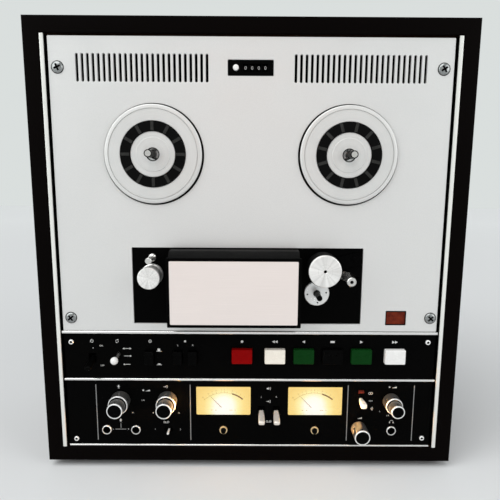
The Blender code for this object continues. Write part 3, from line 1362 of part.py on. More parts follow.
def circuit_board():
    """The amplifier board on its posts, with its capacitors and a heat sink."""
    low = SHELF_TOP + CLEAR
    board_low = low + CIRCUIT_LIFT
    board_top = board_low + CIRCUIT_THICK
    sheet = box("amplifier_board", (CIRCUIT_LEFT, CIRCUIT_RIGHT), (board_low, board_top),
                (-CIRCUIT_BACK, -CIRCUIT_FRONT))
    inset = 2 * CIRCUIT_POST
    for x in (CIRCUIT_LEFT + inset, CIRCUIT_RIGHT - inset):
        for z in (-CIRCUIT_FRONT - inset, -CIRCUIT_BACK + inset):
            fuse(sheet, upright(f"post_{x:.3f}_{z:.3f}", x, z, CIRCUIT_POST, CIRCUIT_POST,
                                (low, board_low + CIRCUIT_THICK / 2), SMALL_SIDES,
                                cutter=True))
    step = (CIRCUIT_RIGHT - CIRCUIT_LEFT) / (CAPACITORS + 1)
    for i in range(CAPACITORS):
        x = CIRCUIT_LEFT + (i + 1) * step
        fuse(sheet, upright(f"capacitor_{i}", x, -CIRCUIT_BACK + 2 * CAPACITOR_RADIUS,
                            CAPACITOR_RADIUS, CAPACITOR_RADIUS,
                            (board_low + CIRCUIT_THICK / 2, board_top + CAPACITOR_HEIGHT), cutter=True))
    middle = (CIRCUIT_LEFT + CIRCUIT_RIGHT) / 2
    fin = CIRCUIT_THICK
    for i in range(FINS):
        z = -CIRCUIT_FRONT - CAPACITOR_RADIUS - 3 * fin * i
        fuse(sheet, box(f"fin_{i}", (middle - HEATSINK_LENGTH / 2, middle + HEATSINK_LENGTH / 2),
                        (board_low + CIRCUIT_THICK / 2, board_top + HEATSINK_HEIGHT), (z - fin, z),
                        cutter=True))
    finish(sheet, (0.10, 0.16, 0.07), 0.5)


def rear_face():
    """Where the rear cover's outer face lies."""
    return REBATE_DEPTH - CABINET_DEPTH - CLEAR - REAR_THICK


def socket_window():
    """The x and y of the rear cover's opening behind the socket panel."""
    half = SOCKET_PANEL_WIDTH / 2 - SOCKET_MARGIN
    low = OPENING_LOW + SOCKET_PANEL_LOW
    return ((-half, half), (low + SOCKET_MARGIN, low + SOCKET_PANEL_HEIGHT - SOCKET_MARGIN))


def rear_cover():
    """The back board in its rebate, with two banks of vent slots."""
    half = OPENING_HALF + REBATE_WIDTH - CLEAR
    low = OPENING_LOW - REBATE_WIDTH + CLEAR
    high = OPENING_HIGH + REBATE_WIDTH - CLEAR
    loops = [rectangle((-half, half), (low, high)), rectangle(*socket_window())]
    for side in (-1, 1):
        for i in range(REAR_SLOT_ROWS):
            loops.append(around(side * TABLE_X, REAR_SLOT_LOW + i * REAR_SLOT_PITCH, REAR_SLOT_LENGTH,
                                REAR_SLOT_WIDTH))
    outer = rear_face()
    finish(plate("rear_cover", loops, (outer, outer + REAR_THICK)), BLACK, 0.7)


def socket_panel():
    """The plate at the back with its line sockets and mains inlet."""
    half = SOCKET_PANEL_WIDTH / 2
    low = OPENING_LOW + SOCKET_PANEL_LOW
    front = rear_face() - CLEAR
    back = front - SOCKET_PANEL_THICK
    middle = (front + back) / 2
    sheet = box("socket_panel", (-half, half), (low, low + SOCKET_PANEL_HEIGHT), (back, front))
    centre = low + SOCKET_PANEL_HEIGHT / 2
    for i in range(SOCKET_COLUMNS):
        for j in (-1, 1):
            place = (SOCKET_FIRST_X + i * SOCKET_PITCH, centre + j * SOCKET_SPACING / 2)
            collar = back - SOCKET_COLLAR_LENGTH
            end = back - SOCKET_LENGTH
            fuse(sheet, turned(f"socket_{i}_{j}", place, [
                (0, middle), (SOCKET_COLLAR, middle), (SOCKET_COLLAR, collar), (SOCKET_RADIUS, collar),
                (SOCKET_RADIUS, end), (SOCKET_BORE, end), (SOCKET_BORE, collar), (0, collar),
            ], SMALL_SIDES, cutter=True))
    inlet = (INLET_WIDTH / 2, INLET_HEIGHT / 2)
    spans = [(c - h, c + h) for c, h in zip((INLET_X, centre), inlet)]
    outer = [(a - INLET_WALL, b + INLET_WALL) for a, b in spans]
    fuse(sheet, box("inlet_body", outer[0], outer[1], (middle, front + INLET_DEPTH), cutter=True))
    cut(sheet, box("inlet_hollow", spans[0], spans[1],
                   (back - BOARD, front + INLET_DEPTH - INLET_WALL), cutter=True))
    finish(sheet, (0.06, 0.06, 0.065), 0.5)


def build():
    """Every piece of the deck."""
    clear_scene()
    cabinet()
    side_rails()
    chassis()
    deck_panel()
    function_panel()
    amplifier_panel()
    for side, x in (("supply", -TABLE_X), ("takeup", TABLE_X)):
        reel_table(side + "_table", x)
        reel_mat(side + "_mat", x)
        reel_motor(side + "_motor", x)
    counter()
    lamp()
    head_deck()
    guide_roller()
    heads()
    head_cover()
    capstan_bearing()
    capstan_flywheel()
    capstan_motor()
    drive_belt()
    pinch_roller()
    tension_arm()
    buttons()
    levers()
    knobs()
    meters()
    transformer()
    circuit_board()
    rear_cover()
    socket_panel()


build()
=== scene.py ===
"""Looks of the reel to reel tape deck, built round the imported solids."""

from math import atan2, copysign, cos, degrees, dist, pi, radians, sin

import bmesh
import bpy
from mathutils import Matrix, Vector
from mathutils.geometry import delaunay_2d_cdt as cdt

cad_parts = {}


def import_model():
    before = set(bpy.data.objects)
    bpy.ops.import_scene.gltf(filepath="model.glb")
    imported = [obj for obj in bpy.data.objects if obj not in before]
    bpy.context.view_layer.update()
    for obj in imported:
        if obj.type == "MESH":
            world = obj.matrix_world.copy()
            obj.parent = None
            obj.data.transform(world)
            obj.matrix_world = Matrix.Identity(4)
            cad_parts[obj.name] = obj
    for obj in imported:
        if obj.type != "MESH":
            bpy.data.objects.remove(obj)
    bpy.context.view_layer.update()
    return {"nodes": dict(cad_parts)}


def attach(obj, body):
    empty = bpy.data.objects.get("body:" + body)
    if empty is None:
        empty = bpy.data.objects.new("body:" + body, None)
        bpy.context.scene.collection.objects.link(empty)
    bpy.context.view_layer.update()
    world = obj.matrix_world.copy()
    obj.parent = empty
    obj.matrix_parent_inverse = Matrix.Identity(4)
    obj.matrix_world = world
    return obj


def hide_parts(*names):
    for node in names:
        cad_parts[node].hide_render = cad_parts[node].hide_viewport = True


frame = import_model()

# Shapes are drawn in millimetres in a front frame: x right, y up from the floor, z out of the
# cabinet's front edge. FRONT_Y is the world Y of that edge.
MM = 0.001
FRONT_Y = -0.082
FACE = -2
BACK = -4.5
PANEL_HALF = 193.25
PRINT = 0.04
QUARTER = pi / 2
UPRIGHT = Matrix.Rotation(QUARTER, 4, "X")
SIDEWAYS = Matrix.Rotation(QUARTER, 4, "Y")
OUTWARD = Matrix.Rotation(pi, 4, "X")


def world(x, y, z=0):
    """A point of the front frame, in the world."""
    return Vector((x * MM, FRONT_Y - z * MM, y * MM))


def spin(angle):
    """A turn about the z axis."""
    return Matrix.Rotation(angle, 4, "Z")


def added(name, data):
    """A new object in the scene."""
    made = bpy.data.objects.new(name, data)
    bpy.context.collection.objects.link(made)
    return made


# Materials


def nodes_of(name):
    """A new material with its node tree and its Principled shader."""
    made = bpy.data.materials.new(name)
    made.use_nodes = True
    tree = made.node_tree
    return made, tree, tree.nodes["Principled BSDF"]


def fill(tree, node, inputs):
    """Sets a node's inputs to values, or links them to other nodes' outputs."""
    for key, value in inputs.items():
        socket = node.inputs[key]
        if isinstance(value, bpy.types.NodeSocket):
            tree.links.new(value, socket)
        else:
            socket.default_value = (*value, 1) if socket.type == "RGBA" else value


def add_node(tree, kind, inputs=(), output=0, **settings):
    """One output of a new node."""
    node = tree.nodes.new("ShaderNode" + kind)
    for key, value in settings.items():
        setattr(node, key, value)
    fill(tree, node, dict(inputs))
    return node.outputs[output]


def mapped(tree, scale):
    """Object coordinates, scaled."""
    coords = add_node(tree, "TexCoord", output="Object")
    return add_node(tree, "Mapping", {"Vector": coords, "Scale": scale})


def noise(tree, size, grain=(1, 1, 1), detail=4):
    """A noise value over scaled object coordinates."""
    inputs = {"Vector": mapped(tree, grain), "Scale": size, "Detail": detail, "Roughness": 0.6}
    return add_node(tree, "TexNoise", inputs)


def spread(tree, value, low, high, start=0.3, end=0.7):
    """A value carried from one range to another."""
    inputs = {"Value": value, "From Min": start, "From Max": end, "To Min": low, "To Max": high}
    return add_node(tree, "MapRange", inputs)


def blend(tree, share, first, second):
    """Two colours mixed by a value."""
    return add_node(tree, "Mix", {"Factor": share, 6: first, 7: second}, 2, data_type="RGBA")


def bump(tree, shader, value, height, strength=1):
    """A bump of a height in metres."""
    inputs = {"Strength": strength, "Distance": height, "Height": value}
    fill(tree, shader, {"Normal": add_node(tree, "Bump", inputs)})


def shade(tree, shader, colour, rough, metallic=0, specular=0.5, aniso=0):
    """The main inputs of a shader."""
    fill(tree, shader, {"Base Color": colour, "Roughness": rough, "Metallic": metallic,
                        "Specular IOR Level": specular, "Anisotropic": aniso})


def surface(name, dark, light, rough, size, height=0, grain=(1, 1, 1), detail=4, **values):
    """A finish whose colour, gloss and relief follow one noise. rough is a pair."""
    made, tree, shader = nodes_of(name)
    value = noise(tree, size, grain, detail)
    smear = noise(tree, 30, detail=2)
    mixed = add_node(tree, "Math", {0: value, 1: smear}, operation="ADD")
    shade(tree, shader, blend(tree, spread(tree, value, 0, 1), dark, light),
          spread(tree, mixed, *rough, 0.7, 1.3), **values)
    if height:
        bump(tree, shader, value, height)
    return made


def spun(name, dark, light, rough, groove=900, height=12e-6, painted_sheen=0, band=1, metallic=1, aniso=0):
    """Turned metal: fine rings round the piece's own z axis, and painted sheen as radial light and
    dark streaks.
    """
    made, tree, shader = nodes_of(name)
    coords = add_node(tree, "TexCoord", output="Object")
    flat = add_node(tree, "VectorMath", {0: coords, 1: (1, 1, 0)}, operation="MULTIPLY")
    radius = add_node(tree, "VectorMath", {0: flat}, "Value", operation="LENGTH")
    line = add_node(tree, "CombineXYZ", {"X": radius})
    rings = add_node(tree, "TexNoise", {"Vector": line, "Scale": groove, "Detail": 3})
    share = spread(tree, rings, 0.5 - band / 2, 0.5 + band / 2)
    # The radial streaks are painted sheen: colour that stands in for the conic highlights of spun
    # metal.
    if painted_sheen:
        way = add_node(tree, "VectorMath", {0: flat}, operation="NORMALIZE")
        sheen_streaks = add_node(tree, "TexNoise", {"Vector": way, "Scale": 2.2, "Detail": 4})
        wide = spread(tree, sheen_streaks, -painted_sheen, painted_sheen)
        share = add_node(tree, "Math", {0: share, 1: wide}, operation="ADD", use_clamp=True)
    shade(tree, shader, blend(tree, share, dark, light), spread(tree, rings, *rough), metallic,
          aniso=aniso)
    bump(tree, shader, rings, height)
    fill(tree, shader, {"Tangent": add_node(tree, "Tangent", direction_type="RADIAL", axis="Z")})
    return made


def walnut(name, grain):
    """Dark oiled veneer, its figure drawn out along the board, with a blackened front edge."""
    made, tree, shader = nodes_of(name)
    where = mapped(tree, grain)
    warp = add_node(tree, "TexNoise", {"Vector": where, "Scale": 14, "Detail": 3}, "Color")
    bent = add_node(tree, "VectorMath", {0: where, 1: warp}, operation="ADD")
    inputs = {"Vector": bent, "Scale": 9, "Distortion": 5, "Detail": 3, "Detail Scale": 1.6}
    figure = spread(tree, add_node(tree, "TexWave", inputs, "Fac"), 0, 1, 0.1, 0.9)
    pores = add_node(tree, "TexNoise", {"Vector": where, "Scale": 520, "Detail": 2})
    veneer = blend(tree, figure, (0.01, 0.0036, 0.0021), (0.066, 0.026, 0.013))
    dark = spread(tree, pores, 0.75, 0, 0.36, 0.5)
    veneer = blend(tree, dark, veneer, (0.005, 0.002, 0.0012))
    place = add_node(tree, "SeparateXYZ", {0: add_node(tree, "TexCoord", output="Object")}, "Z")
    edge = spread(tree, place, 0, 1, -0.0042, -0.0016)
    colour = blend(tree, edge, veneer, (0.0009, 0.0003, 0.0002))
    shade(tree, shader, colour, spread(tree, pores, 0.55, 0.36), specular=0.03)
    bump(tree, shader, pores, 0.00008, 0.5)
    return made


def glow(name, colour, base):
    """A lit lens whose light fades a little from place to place."""
    made, tree, shader = nodes_of(name)
    value = noise(tree, 160)
    shade(tree, shader, blend(tree, spread(tree, value, 0, 1), base, colour), 0.2, specular=0.12)
    light = blend(tree, spread(tree, value, 0.7, 1), (0, 0, 0), colour)
    fill(tree, shader, {"Emission Color": light, "Emission Strength": 0.1})
    return made


def dial_light(name):
    """A translucent dial, lit from behind its lower edge. Its origin is the needle's pivot."""
    made, tree, shader = nodes_of(name)
    coords = add_node(tree, "TexCoord", output="Object")
    flat = add_node(tree, "Mapping", {"Vector": coords, "Location": (0, -0.13, 0),
                                      "Scale": (1 / 0.03, 1 / 0.03, 0)})
    far = add_node(tree, "VectorMath", {0: flat}, "Value", operation="LENGTH")
    ramp = add_node(tree, "ValToRGB", {"Fac": far})
    stops = ((0, (0.98, 0.98, 0.95)), (0.32, (0.97, 0.97, 0.86)), (0.52, (0.95, 0.88, 0.44)),
             (0.72, (0.93, 0.72, 0.27)), (1, (0.9, 0.65, 0.22)))
    points = ramp.node.color_ramp.elements
    while len(points) < len(stops):
        points.new(0.5)
    for point, (place, colour) in zip(points, stops):
        point.position = place
        point.color = (*colour, 1)
    paper = spread(tree, noise(tree, 300), 0, 0.08)
    shade(tree, shader, (0.06, 0.04, 0.015), 0.6, specular=0.1)
    fill(tree, shader, {"Emission Color": blend(tree, paper, ramp, (0.7, 0.45, 0.2)),
                        "Emission Strength": 1})
    return made


def clear(name):
    """Clear moulded plastic."""
    made, tree, shader = nodes_of(name)
    shade(tree, shader, (1, 1, 1), spread(tree, noise(tree, 40), 0.02, 0.07))
    fill(tree, shader, {"Transmission Weight": 1, "IOR": 1.15})
    return made


def grey(value):
    """An even grey."""
    return (value, value, value)


WALNUT_UP = walnut("walnut_upright", (18, 18, 1.1))
WALNUT_ACROSS = walnut("walnut_across", (1.1, 18, 18))

# Metals
SILVER = surface("deck_silver", (0.66, 0.66, 0.65), (0.72, 0.72, 0.71), (0.36, 0.48), 1400, 12e-6,
                 metallic=0.3, specular=0.4)
PLATE = surface("brushed_plate", (0.8, 0.72, 0.685), (0.88, 0.8, 0.765), (0.3, 0.42), 4, 4e-6,
                (6, 2400, 2400), 3, metallic=0.35, aniso=0.4)
RAIL_UP = surface("rail_aluminium", (0.8, 0.8, 0.76), (0.86, 0.86, 0.82), (0.26, 0.36), 4,
                  grain=(1400, 1400, 6), metallic=0.5)
TRIM = surface("trim_aluminium", (0.76, 0.75, 0.74), (0.86, 0.85, 0.84), (0.16, 0.28), 4,
               grain=(6, 1400, 1400), metallic=1)
CHROME = surface("chrome", (0.78, 0.785, 0.79), (0.86, 0.865, 0.87), (0.06, 0.14), 260, metallic=1)
SATIN = surface("satin_metal", (0.6, 0.59, 0.57), (0.68, 0.67, 0.65), (0.22, 0.28), 60,
                metallic=0.85)
KNOB = surface("knob_metal", (0.25, 0.245, 0.235), (0.31, 0.305, 0.295), (0.27, 0.33), 60,
               metallic=0.85)
GOLD = surface("warm_rim", (0.84, 0.64, 0.34), (0.92, 0.74, 0.44), (0.2, 0.3), 400, metallic=0.4)
BRIGHT = surface("bright_rim", (0.88, 0.88, 0.87), (0.94, 0.94, 0.93), (0.16, 0.28), 500,
                 metallic=0.4)
PEARL = surface("pale_plating", (0.78, 0.71, 0.63), (0.88, 0.82, 0.75), (0.18, 0.3), 400,
                metallic=0.35)
STEEL = surface("screw_steel", (0.22, 0.23, 0.23), (0.34, 0.35, 0.35), (0.18, 0.3), 700,
                metallic=0.95)
DULL = surface("plated_sheet", (0.4, 0.4, 0.38), (0.55, 0.55, 0.52), (0.4, 0.6), 70, metallic=1)
ENAMEL = surface("motor_enamel", (0.2, 0.205, 0.21), (0.28, 0.285, 0.29), (0.35, 0.5), 400, 20e-6,
                 metallic=0.5)
# The turned tables and the spun caps carry painted sheen: radial light and dark streaks in their
# colour.
TURNED = spun("turned_aluminium", (0.63, 0.63, 0.62), (0.7, 0.7, 0.685), (0.38, 0.5), 700, 6e-6,
              0.25, 0.8, 0.4, 0.3)
SPUN = spun("spun_cap", (0.7, 0.69, 0.67), (0.96, 0.95, 0.93), (0.26, 0.34), 1500, 3e-6, 0.75, 0.16,
            0.5, 0.5)
BRASS = spun("turned_brass", (0.52, 0.36, 0.13), (0.68, 0.5, 0.22), (0.22, 0.36))

# Paint, plastic, rubber and board
BLACK = surface("panel_black", grey(0.0005), grey(0.0012), (0.42, 0.56), 2600, 10e-6, specular=0.02)
COVER = surface("cover_black", grey(0.0012), grey(0.0028), (0.36, 0.5), 1800, 20e-6, specular=0.06)
GLOSS = surface("gloss_black", grey(0.0006), grey(0.0014), (0.24, 0.36), 300, specular=0.025)
# Black fill for holes. In the screw recesses, behind the vents and in the shallow holes of the
# pinch cap and tension post it is painted shade.
HOLE = surface("deep_black", grey(0.0004), grey(0.001), (0.7, 0.9), 300, specular=0.02)
RUBBER = surface("rubber", grey(0.0009), grey(0.0022), (0.6, 0.8), 900, 30e-6, specular=0.06)
RIB = surface("rubber_rib", (0.018, 0.018, 0.017), (0.034, 0.034, 0.032), (0.45, 0.6), 200, 30e-6,
              specular=0.1)
IVORY = surface("ivory_plastic", (0.83, 0.825, 0.81), (0.86, 0.855, 0.84), (0.22, 0.34), 220)
CREAM = surface("cream_plastic", (0.9, 0.845, 0.745), (0.93, 0.875, 0.775), (0.22, 0.34), 220)
RED = surface("red_plastic", (0.215, 0.0006, 0.0008), (0.245, 0.0009, 0.0011), (0.26, 0.38), 200,
              specular=0.04)
GREEN = surface("green_plastic", (0.0026, 0.033, 0.0052), (0.0032, 0.039, 0.0064), (0.24, 0.36),
                200, specular=0.04)
BOARD_GREEN = surface("board_green", (0.03, 0.07, 0.02), (0.06, 0.12, 0.03), (0.3, 0.5), 260)
HARDBOARD = surface("hardboard", (0.01, 0.009, 0.008), (0.02, 0.017, 0.014), (0.5, 0.75), 800,
                    60e-6, specular=0.15)

# Ink and needles
INK = surface("white_ink", (0.56, 0.56, 0.55), (0.68, 0.68, 0.67), (0.45, 0.6), 900)
FAINT = surface("grey_ink", grey(0.2), grey(0.3), (0.45, 0.6), 900)
TAN = surface("tan_ink", (0.58, 0.37, 0.11), (0.66, 0.43, 0.13), (0.5, 0.6), 900)
NEEDLE = surface("needle_brown", (0.24, 0.13, 0.04), (0.3, 0.17, 0.05), (0.5, 0.6), 900)
SCARLET = surface("red_ink", (0.15, 0.042, 0.012), (0.19, 0.055, 0.016), (0.5, 0.6), 900)

# Lenses, dials and windows
AMBER = glow("amber_lens", (0.16, 0.02, 0.005), (0.07, 0.006, 0.002))
EMBER = glow("red_lens", (0.15, 0.022, 0.012), (0.05, 0.006, 0.004))
DIAL = dial_light("lit_dial")
GLASS = clear("clear_window")


# Shapes. Each is a bmesh in millimetres, or a loop of (x, y) points.


def bend(x, y, radius, start, end, steps):
    """Points along a round line, from one angle to another."""
    turns = [start + (end - start) * i / steps for i in range(steps + 1)]
    return [(x + radius * cos(t), y + radius * sin(t)) for t in turns]


def circle(x, y, radius, steps=64):
    """A round loop."""
    return bend(x, y, radius, 0, 2 * pi, steps)[:-1]


def rect(x0, x1, y0, y1, radius=0, steps=5):
    """A loop with four corners, rounded or sharp."""
    if not radius:
        return [(x0, y0), (x1, y0), (x1, y1), (x0, y1)]
    middles = ((x1 - radius, y0 + radius, 3), (x1 - radius, y1 - radius, 0),
               (x0 + radius, y1 - radius, 1), (x0 + radius, y0 + radius, 2))
    points = []
    for x, y, turn in middles:
        points += bend(x, y, radius, turn * QUARTER, (turn + 1) * QUARTER, steps)
    return points


def around(x, y, width, height, radius=0, steps=5):
    """A rounded loop round a middle."""
    return rect(x - width / 2, x + width / 2, y - height / 2, y + height / 2, radius, steps)


def strap(a, b, radius, steps=20):
    """The loop of a band pulled round two equal circles."""
    along = atan2(b[1] - a[1], b[0] - a[0])
    far = bend(*a, radius, along + QUARTER, along + 3 * QUARTER, steps)
    return far + bend(*b, radius, along - QUARTER, along + QUARTER, steps)


def arc(x, y, r0, r1, start, end, steps=32):
    """The loop of a piece of a ring, from one angle to another in degrees."""
    start, end = radians(start), radians(end)
    return bend(x, y, r1, start, end, steps) + bend(x, y, r0, end, start, steps)


def triangle(x, y, size, way):
    """An arrow head pointing left or right."""
    tail = x - way * size * 0.45
    return [(x + way * size * 0.55, y), (tail, y + size * 0.55), (tail, y - size * 0.55)]


def line(a, b, width):
    """A straight printed line."""
    a, b = Vector(a), Vector(b)
    across = (b - a).orthogonal().normalized() * width / 2
    return [tuple(point) for point in (a + across, a - across, b - across, b + across)]


def signed_area(loop):
    """Positive where the loop runs anticlockwise."""
    return sum(a[0] * b[1] - b[0] * a[1] for a, b in zip(loop, loop[1:] + loop[:1])) / 2


def inset(loop, gap):
    """The loop moved to its left by a gap."""
    points = [Vector(point) for point in loop]
    moved_in = []
    for a, b, c in zip(points[-1:] + points, points, points[1:] + points[:1]):
        first = (b - a).orthogonal().normalized()
        second = (c - b).orthogonal().normalized()
        moved_in.append(tuple(b + (first + second) * gap / max(1 + first.dot(second), 0.2)))
    return moved_in


def holds(loop, point):
    """Whether a point lies inside a loop."""
    x, y = point
    inside = False
    for (ax, ay), (bx, by) in zip(loop, loop[1:] + loop[:1]):
        if (ay > y) != (by > y) and x < ax + (y - ay) / (by - ay) * (bx - ax):
            inside = not inside
    return inside


def skin(mesh, rows, closed=False):
    """Faces between rows of points."""
    for a, b in zip(rows, rows[1:] + rows[:1] if closed else rows[1:]):
        for i in range(len(a)):
            corners = list(dict.fromkeys((a[i - 1], a[i], b[i], b[i - 1])))
            if len(corners) > 2:
                mesh.faces.new(corners)


def slab(outer, holes, back, front, edge=0, steps=2, into=None):
    """A plate with holes, its front edges rounded."""
    mesh = into or bmesh.new()
    loops = [loop if (signed_area(loop) > 0) == (i == 0) else loop[::-1]
             for i, loop in enumerate([outer, *holes])]
    levels = [(0, back), (0, front - edge)]
    for i in range(1, steps + 1 if edge else 1):
        turn = i / steps * QUARTER
        levels.append((edge * (1 - cos(turn)), front - edge + edge * sin(turn)))
    rows = [[[mesh.verts.new((x, y, z)) for x, y in (inset(loop, gap) if gap else loop)]
             for loop in loops] for gap, z in levels]
    for rings in zip(*rows):
        skin(mesh, rings)
    for row in (rows[0], rows[-1]):
        flat = [vert for loop in row for vert in loop]
        if len(row) == 1:
            mesh.faces.new(flat)
            continue
        edges, start = [], 0
        for loop in row:
            count = len(loop)
            edges += [(start + (i - 1) % count, start + i) for i in range(count)]
            start += count
        cells = cdt([vert.co.xy for vert in flat], edges, [], 0, 1e-5)
        limits = [[vert.co.xy for vert in loop] for loop in row]
        for cell in cells[2]:
            corners = [flat[cells[3][i][0]] for i in cell]
            middle = sum((vert.co.xy for vert in corners), Vector((0, 0))) / 3
            if holds(limits[0], middle) and not any(holds(limit, middle) for limit in limits[1:]):
                mesh.faces.new(corners)
    return mesh


def lathe(profile, steps=48, closed=False):
    """A profile of (radius, z) points turned round the z axis."""
    mesh = bmesh.new()
    rows = []
    for radius, z in profile:
        if radius < 1e-6:
            rows.append([mesh.verts.new((0, 0, z))] * steps)
        else:
            rows.append([mesh.verts.new((x, y, z)) for x, y in circle(0, 0, radius, steps)])
    skin(mesh, rows, closed)
    return mesh


def bevel(mesh, edges, width, steps):
    """Some edges of a shape, rounded."""
    bmesh.ops.bevel(mesh, geom=edges, offset=width, segments=steps, profile=0.5, affect="EDGES")


def brick(x, y, z, edge=0.5, steps=2):
    """A box with every edge rounded."""
    mesh = bmesh.new()
    bmesh.ops.create_cube(mesh, size=1)
    sizes = [b - a for a, b in (x, y, z)]
    moved(mesh, *[(a + b) / 2 for a, b in (x, y, z)], Matrix.Diagonal((*sizes, 1)))
    bevel(mesh, mesh.edges[:], edge, steps)
    return mesh


def loft(sections):
    """A skin over loops of (x, y, z) points, closed at both ends."""
    mesh = bmesh.new()
    rows = [[mesh.verts.new(point) for point in loop] for loop in sections]
    skin(mesh, rows)
    mesh.faces.new(rows[0])
    mesh.faces.new(rows[-1])
    return mesh


def moved(mesh, x=0, y=0, z=0, turn=Matrix()):
    """A shape turned and then shifted."""
    bmesh.ops.transform(mesh, matrix=Matrix.Translation((x, y, z)) @ turn, verts=mesh.verts)
    return mesh


def joined(*meshes):
    """Several shapes as one."""
    for other in meshes[1:]:
        data = bpy.data.meshes.new("joined")
        other.to_mesh(data)
        other.free()
        meshes[0].from_mesh(data)
        bpy.data.meshes.remove(data)
    return meshes[0]


def carved(mesh, *cutters):
    """A shape with others cut out of it."""
    things = []
    for shape in (mesh, joined(*cutters)):
        data = bpy.data.meshes.new("carving")
        bmesh.ops.recalc_face_normals(shape, faces=shape.faces)
        shape.to_mesh(data)
        shape.free()
        things.append(added("carving", data))
    tool = things[0].modifiers.new("carve", "BOOLEAN")
    tool.object = things[1]
    tool.solver = "EXACT"
    tool.use_self = True
    result = bmesh.new()
    result.from_object(things[0], bpy.context.evaluated_depsgraph_get())
    for thing in things:
        bpy.data.meshes.remove(thing.data)
    return result


def words(mesh, text, size, x, y, z=FACE):
    """Printed figures or letters, added to a shape."""
    data = bpy.data.curves.new("words", "FONT")
    data.body = text
    data.size = size
    data.align_x = data.align_y = "CENTER"
    data.extrude = PRINT / 2
    data.resolution_u = 3
    made = added("words", data)
    bpy.context.view_layer.update()
    shape = made.to_mesh()
    shape.transform(Matrix.Translation((x, y, z + PRINT / 2)))
    mesh.from_mesh(shape)
    bpy.data.curves.remove(data)


def ink(mesh, *loops, z=FACE):
    """Printed loops, added to a shape."""
    for loop in loops:
        slab(loop, [], z, z + PRINT, into=mesh)


def piece(name, mesh, material, body="root", at=(0, 0), stands=None, slot=None, angle=40):
    """An object from a shape, with its place in the front frame and the body it rides on."""
    bmesh.ops.remove_doubles(mesh, verts=mesh.verts, dist=1e-5)
    bmesh.ops.recalc_face_normals(mesh, faces=mesh.faces)
    data = bpy.data.meshes.new(name)
    mesh.to_mesh(data)
    mesh.free()
    data.transform(Matrix.Scale(MM, 4))
    data.shade_smooth()
    data.set_sharp_from_angle(angle=radians(angle))
    data.materials.append(material)
    made = added(name, data)
    made.matrix_world = Matrix.Translation(world(*at)) @ UPRIGHT
    even = made.modifiers.new("even_shading", "WEIGHTED_NORMAL")
    even.keep_sharp = True
    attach(made, body)
    if stands:
        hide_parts(stands)
    return made


def screws(name, places, radius, height, z):
    """Pan head screws with cross recesses, and black fills of painted shade in the recesses and
    round the heads.
    """
    heads, recesses = [], []
    for i, (x, y) in enumerate(places):
        turn = spin(0.4 + 1.7 * i)
        rise = [(radius * cos(t), height * sin(t) ** 0.8) for t in (0, 0.25, 0.5, 0.75, 1, 1.25)]
        head = lathe([(0, -0.6), (radius, -0.6), *rise, (0, height)], 32)
        arms = []
        for cross in (Matrix(), spin(QUARTER)):
            long, wide = radius * 0.62, radius * 0.16
            arms.append(moved(brick((-long, long), (-wide, wide), (0.1, height * 2), 0.04, 1),
                              turn=cross))
            # Each recess gets a black cross at its bottom: painted shade.
            long, wide = radius * 0.61, radius * 0.155
            floor = brick((-long, long), (-wide, wide), (0.12, height * 0.5), 0.04, 1)
            recesses.append(moved(floor, x, y, z, turn @ cross))
        heads.append(moved(carved(head, *arms), x, y, z, turn))
        # A black ring round the foot of each head: painted shadow.
        inner, outer = radius - 0.4, radius + 0.5
        shadow_ring = lathe([(inner, -0.4), (inner, 0.1), (outer, 0.1), (outer, -0.4)], 32, True)
        recesses.append(moved(shadow_ring, x, y, z))
    return (piece(name, joined(*heads), STEEL, slot="chrome"),
            piece(name + "_recesses", joined(*recesses), HOLE, slot="black_plastic"))


def studs(name, places):
    """Small round heads with a bright rim and a dark socket."""
    radius, bore, height = 2.7, 2.7 * 0.52, 1.4
    rims, wells = [], []
    for x, y in places:
        rim = lathe([(bore, -0.6), (bore, height * 0.9), (bore + 0.2, height),
                     (radius * 0.75, height * 0.95), (radius * 0.94, height * 0.6), (radius, 0),
                     (radius, -0.6)], 32, True)
        well = lathe([(0, -0.3), (bore * 0.8, -0.2), (bore, 0.3), (bore, -0.5), (0, -0.5)], 6)
        rims.append(moved(rim, x, y, FACE))
        wells.append(moved(well, x, y, FACE))
    piece(name, joined(*rims), BRIGHT, slot="chrome")
    piece(name + "_sockets", joined(*wells), HOLE, slot="black_plastic")


def turned(name, profile, material, body="root", at=(0, 0), stands=None, slot=None, steps=48,
           closed=False):
    """A piece made on the lathe."""
    piece(name, lathe(profile, steps, closed), material, body, at, stands, slot)


# Cabinet

HALF = 215.95
TOP = 460
FOOT = 8
BOARD = 16
DEPTH = 190
REBATE_DEPTH = 14
REBATE_LIP = 10
FOOT_X = 170.95
FOOT_IN = 45
RAIL_INNER = 195.85
RAIL_OUTER = 199.65
RAIL_LOW = 24.3
RAIL_TOP = 443.7


def board(name, material, start, end, inward):
    """One mitred board from corner to corner, with a rebate for the rear cover."""
    step = REBATE_DEPTH - DEPTH
    section = [(0, 0), (0, BOARD), (step, BOARD), (step, REBATE_LIP), (-DEPTH, REBATE_LIP),
               (-DEPTH, 0)]
    start, end, inward = Vector(start), Vector(end), Vector(inward)
    along = (end - start).normalized()
    mesh = loft([[(*(corner + mitre * depth), z) for z, depth in section]
                 for corner, mitre in ((start, inward + along), (end, inward - along))])
    long = [e for e in mesh.edges
            if abs((e.verts[0].co - e.verts[1].co).xy.normalized().dot(along)) > 0.99]
    bevel(mesh, long, 1.3, 3)
    piece(name, mesh, material, stands="cabinet")


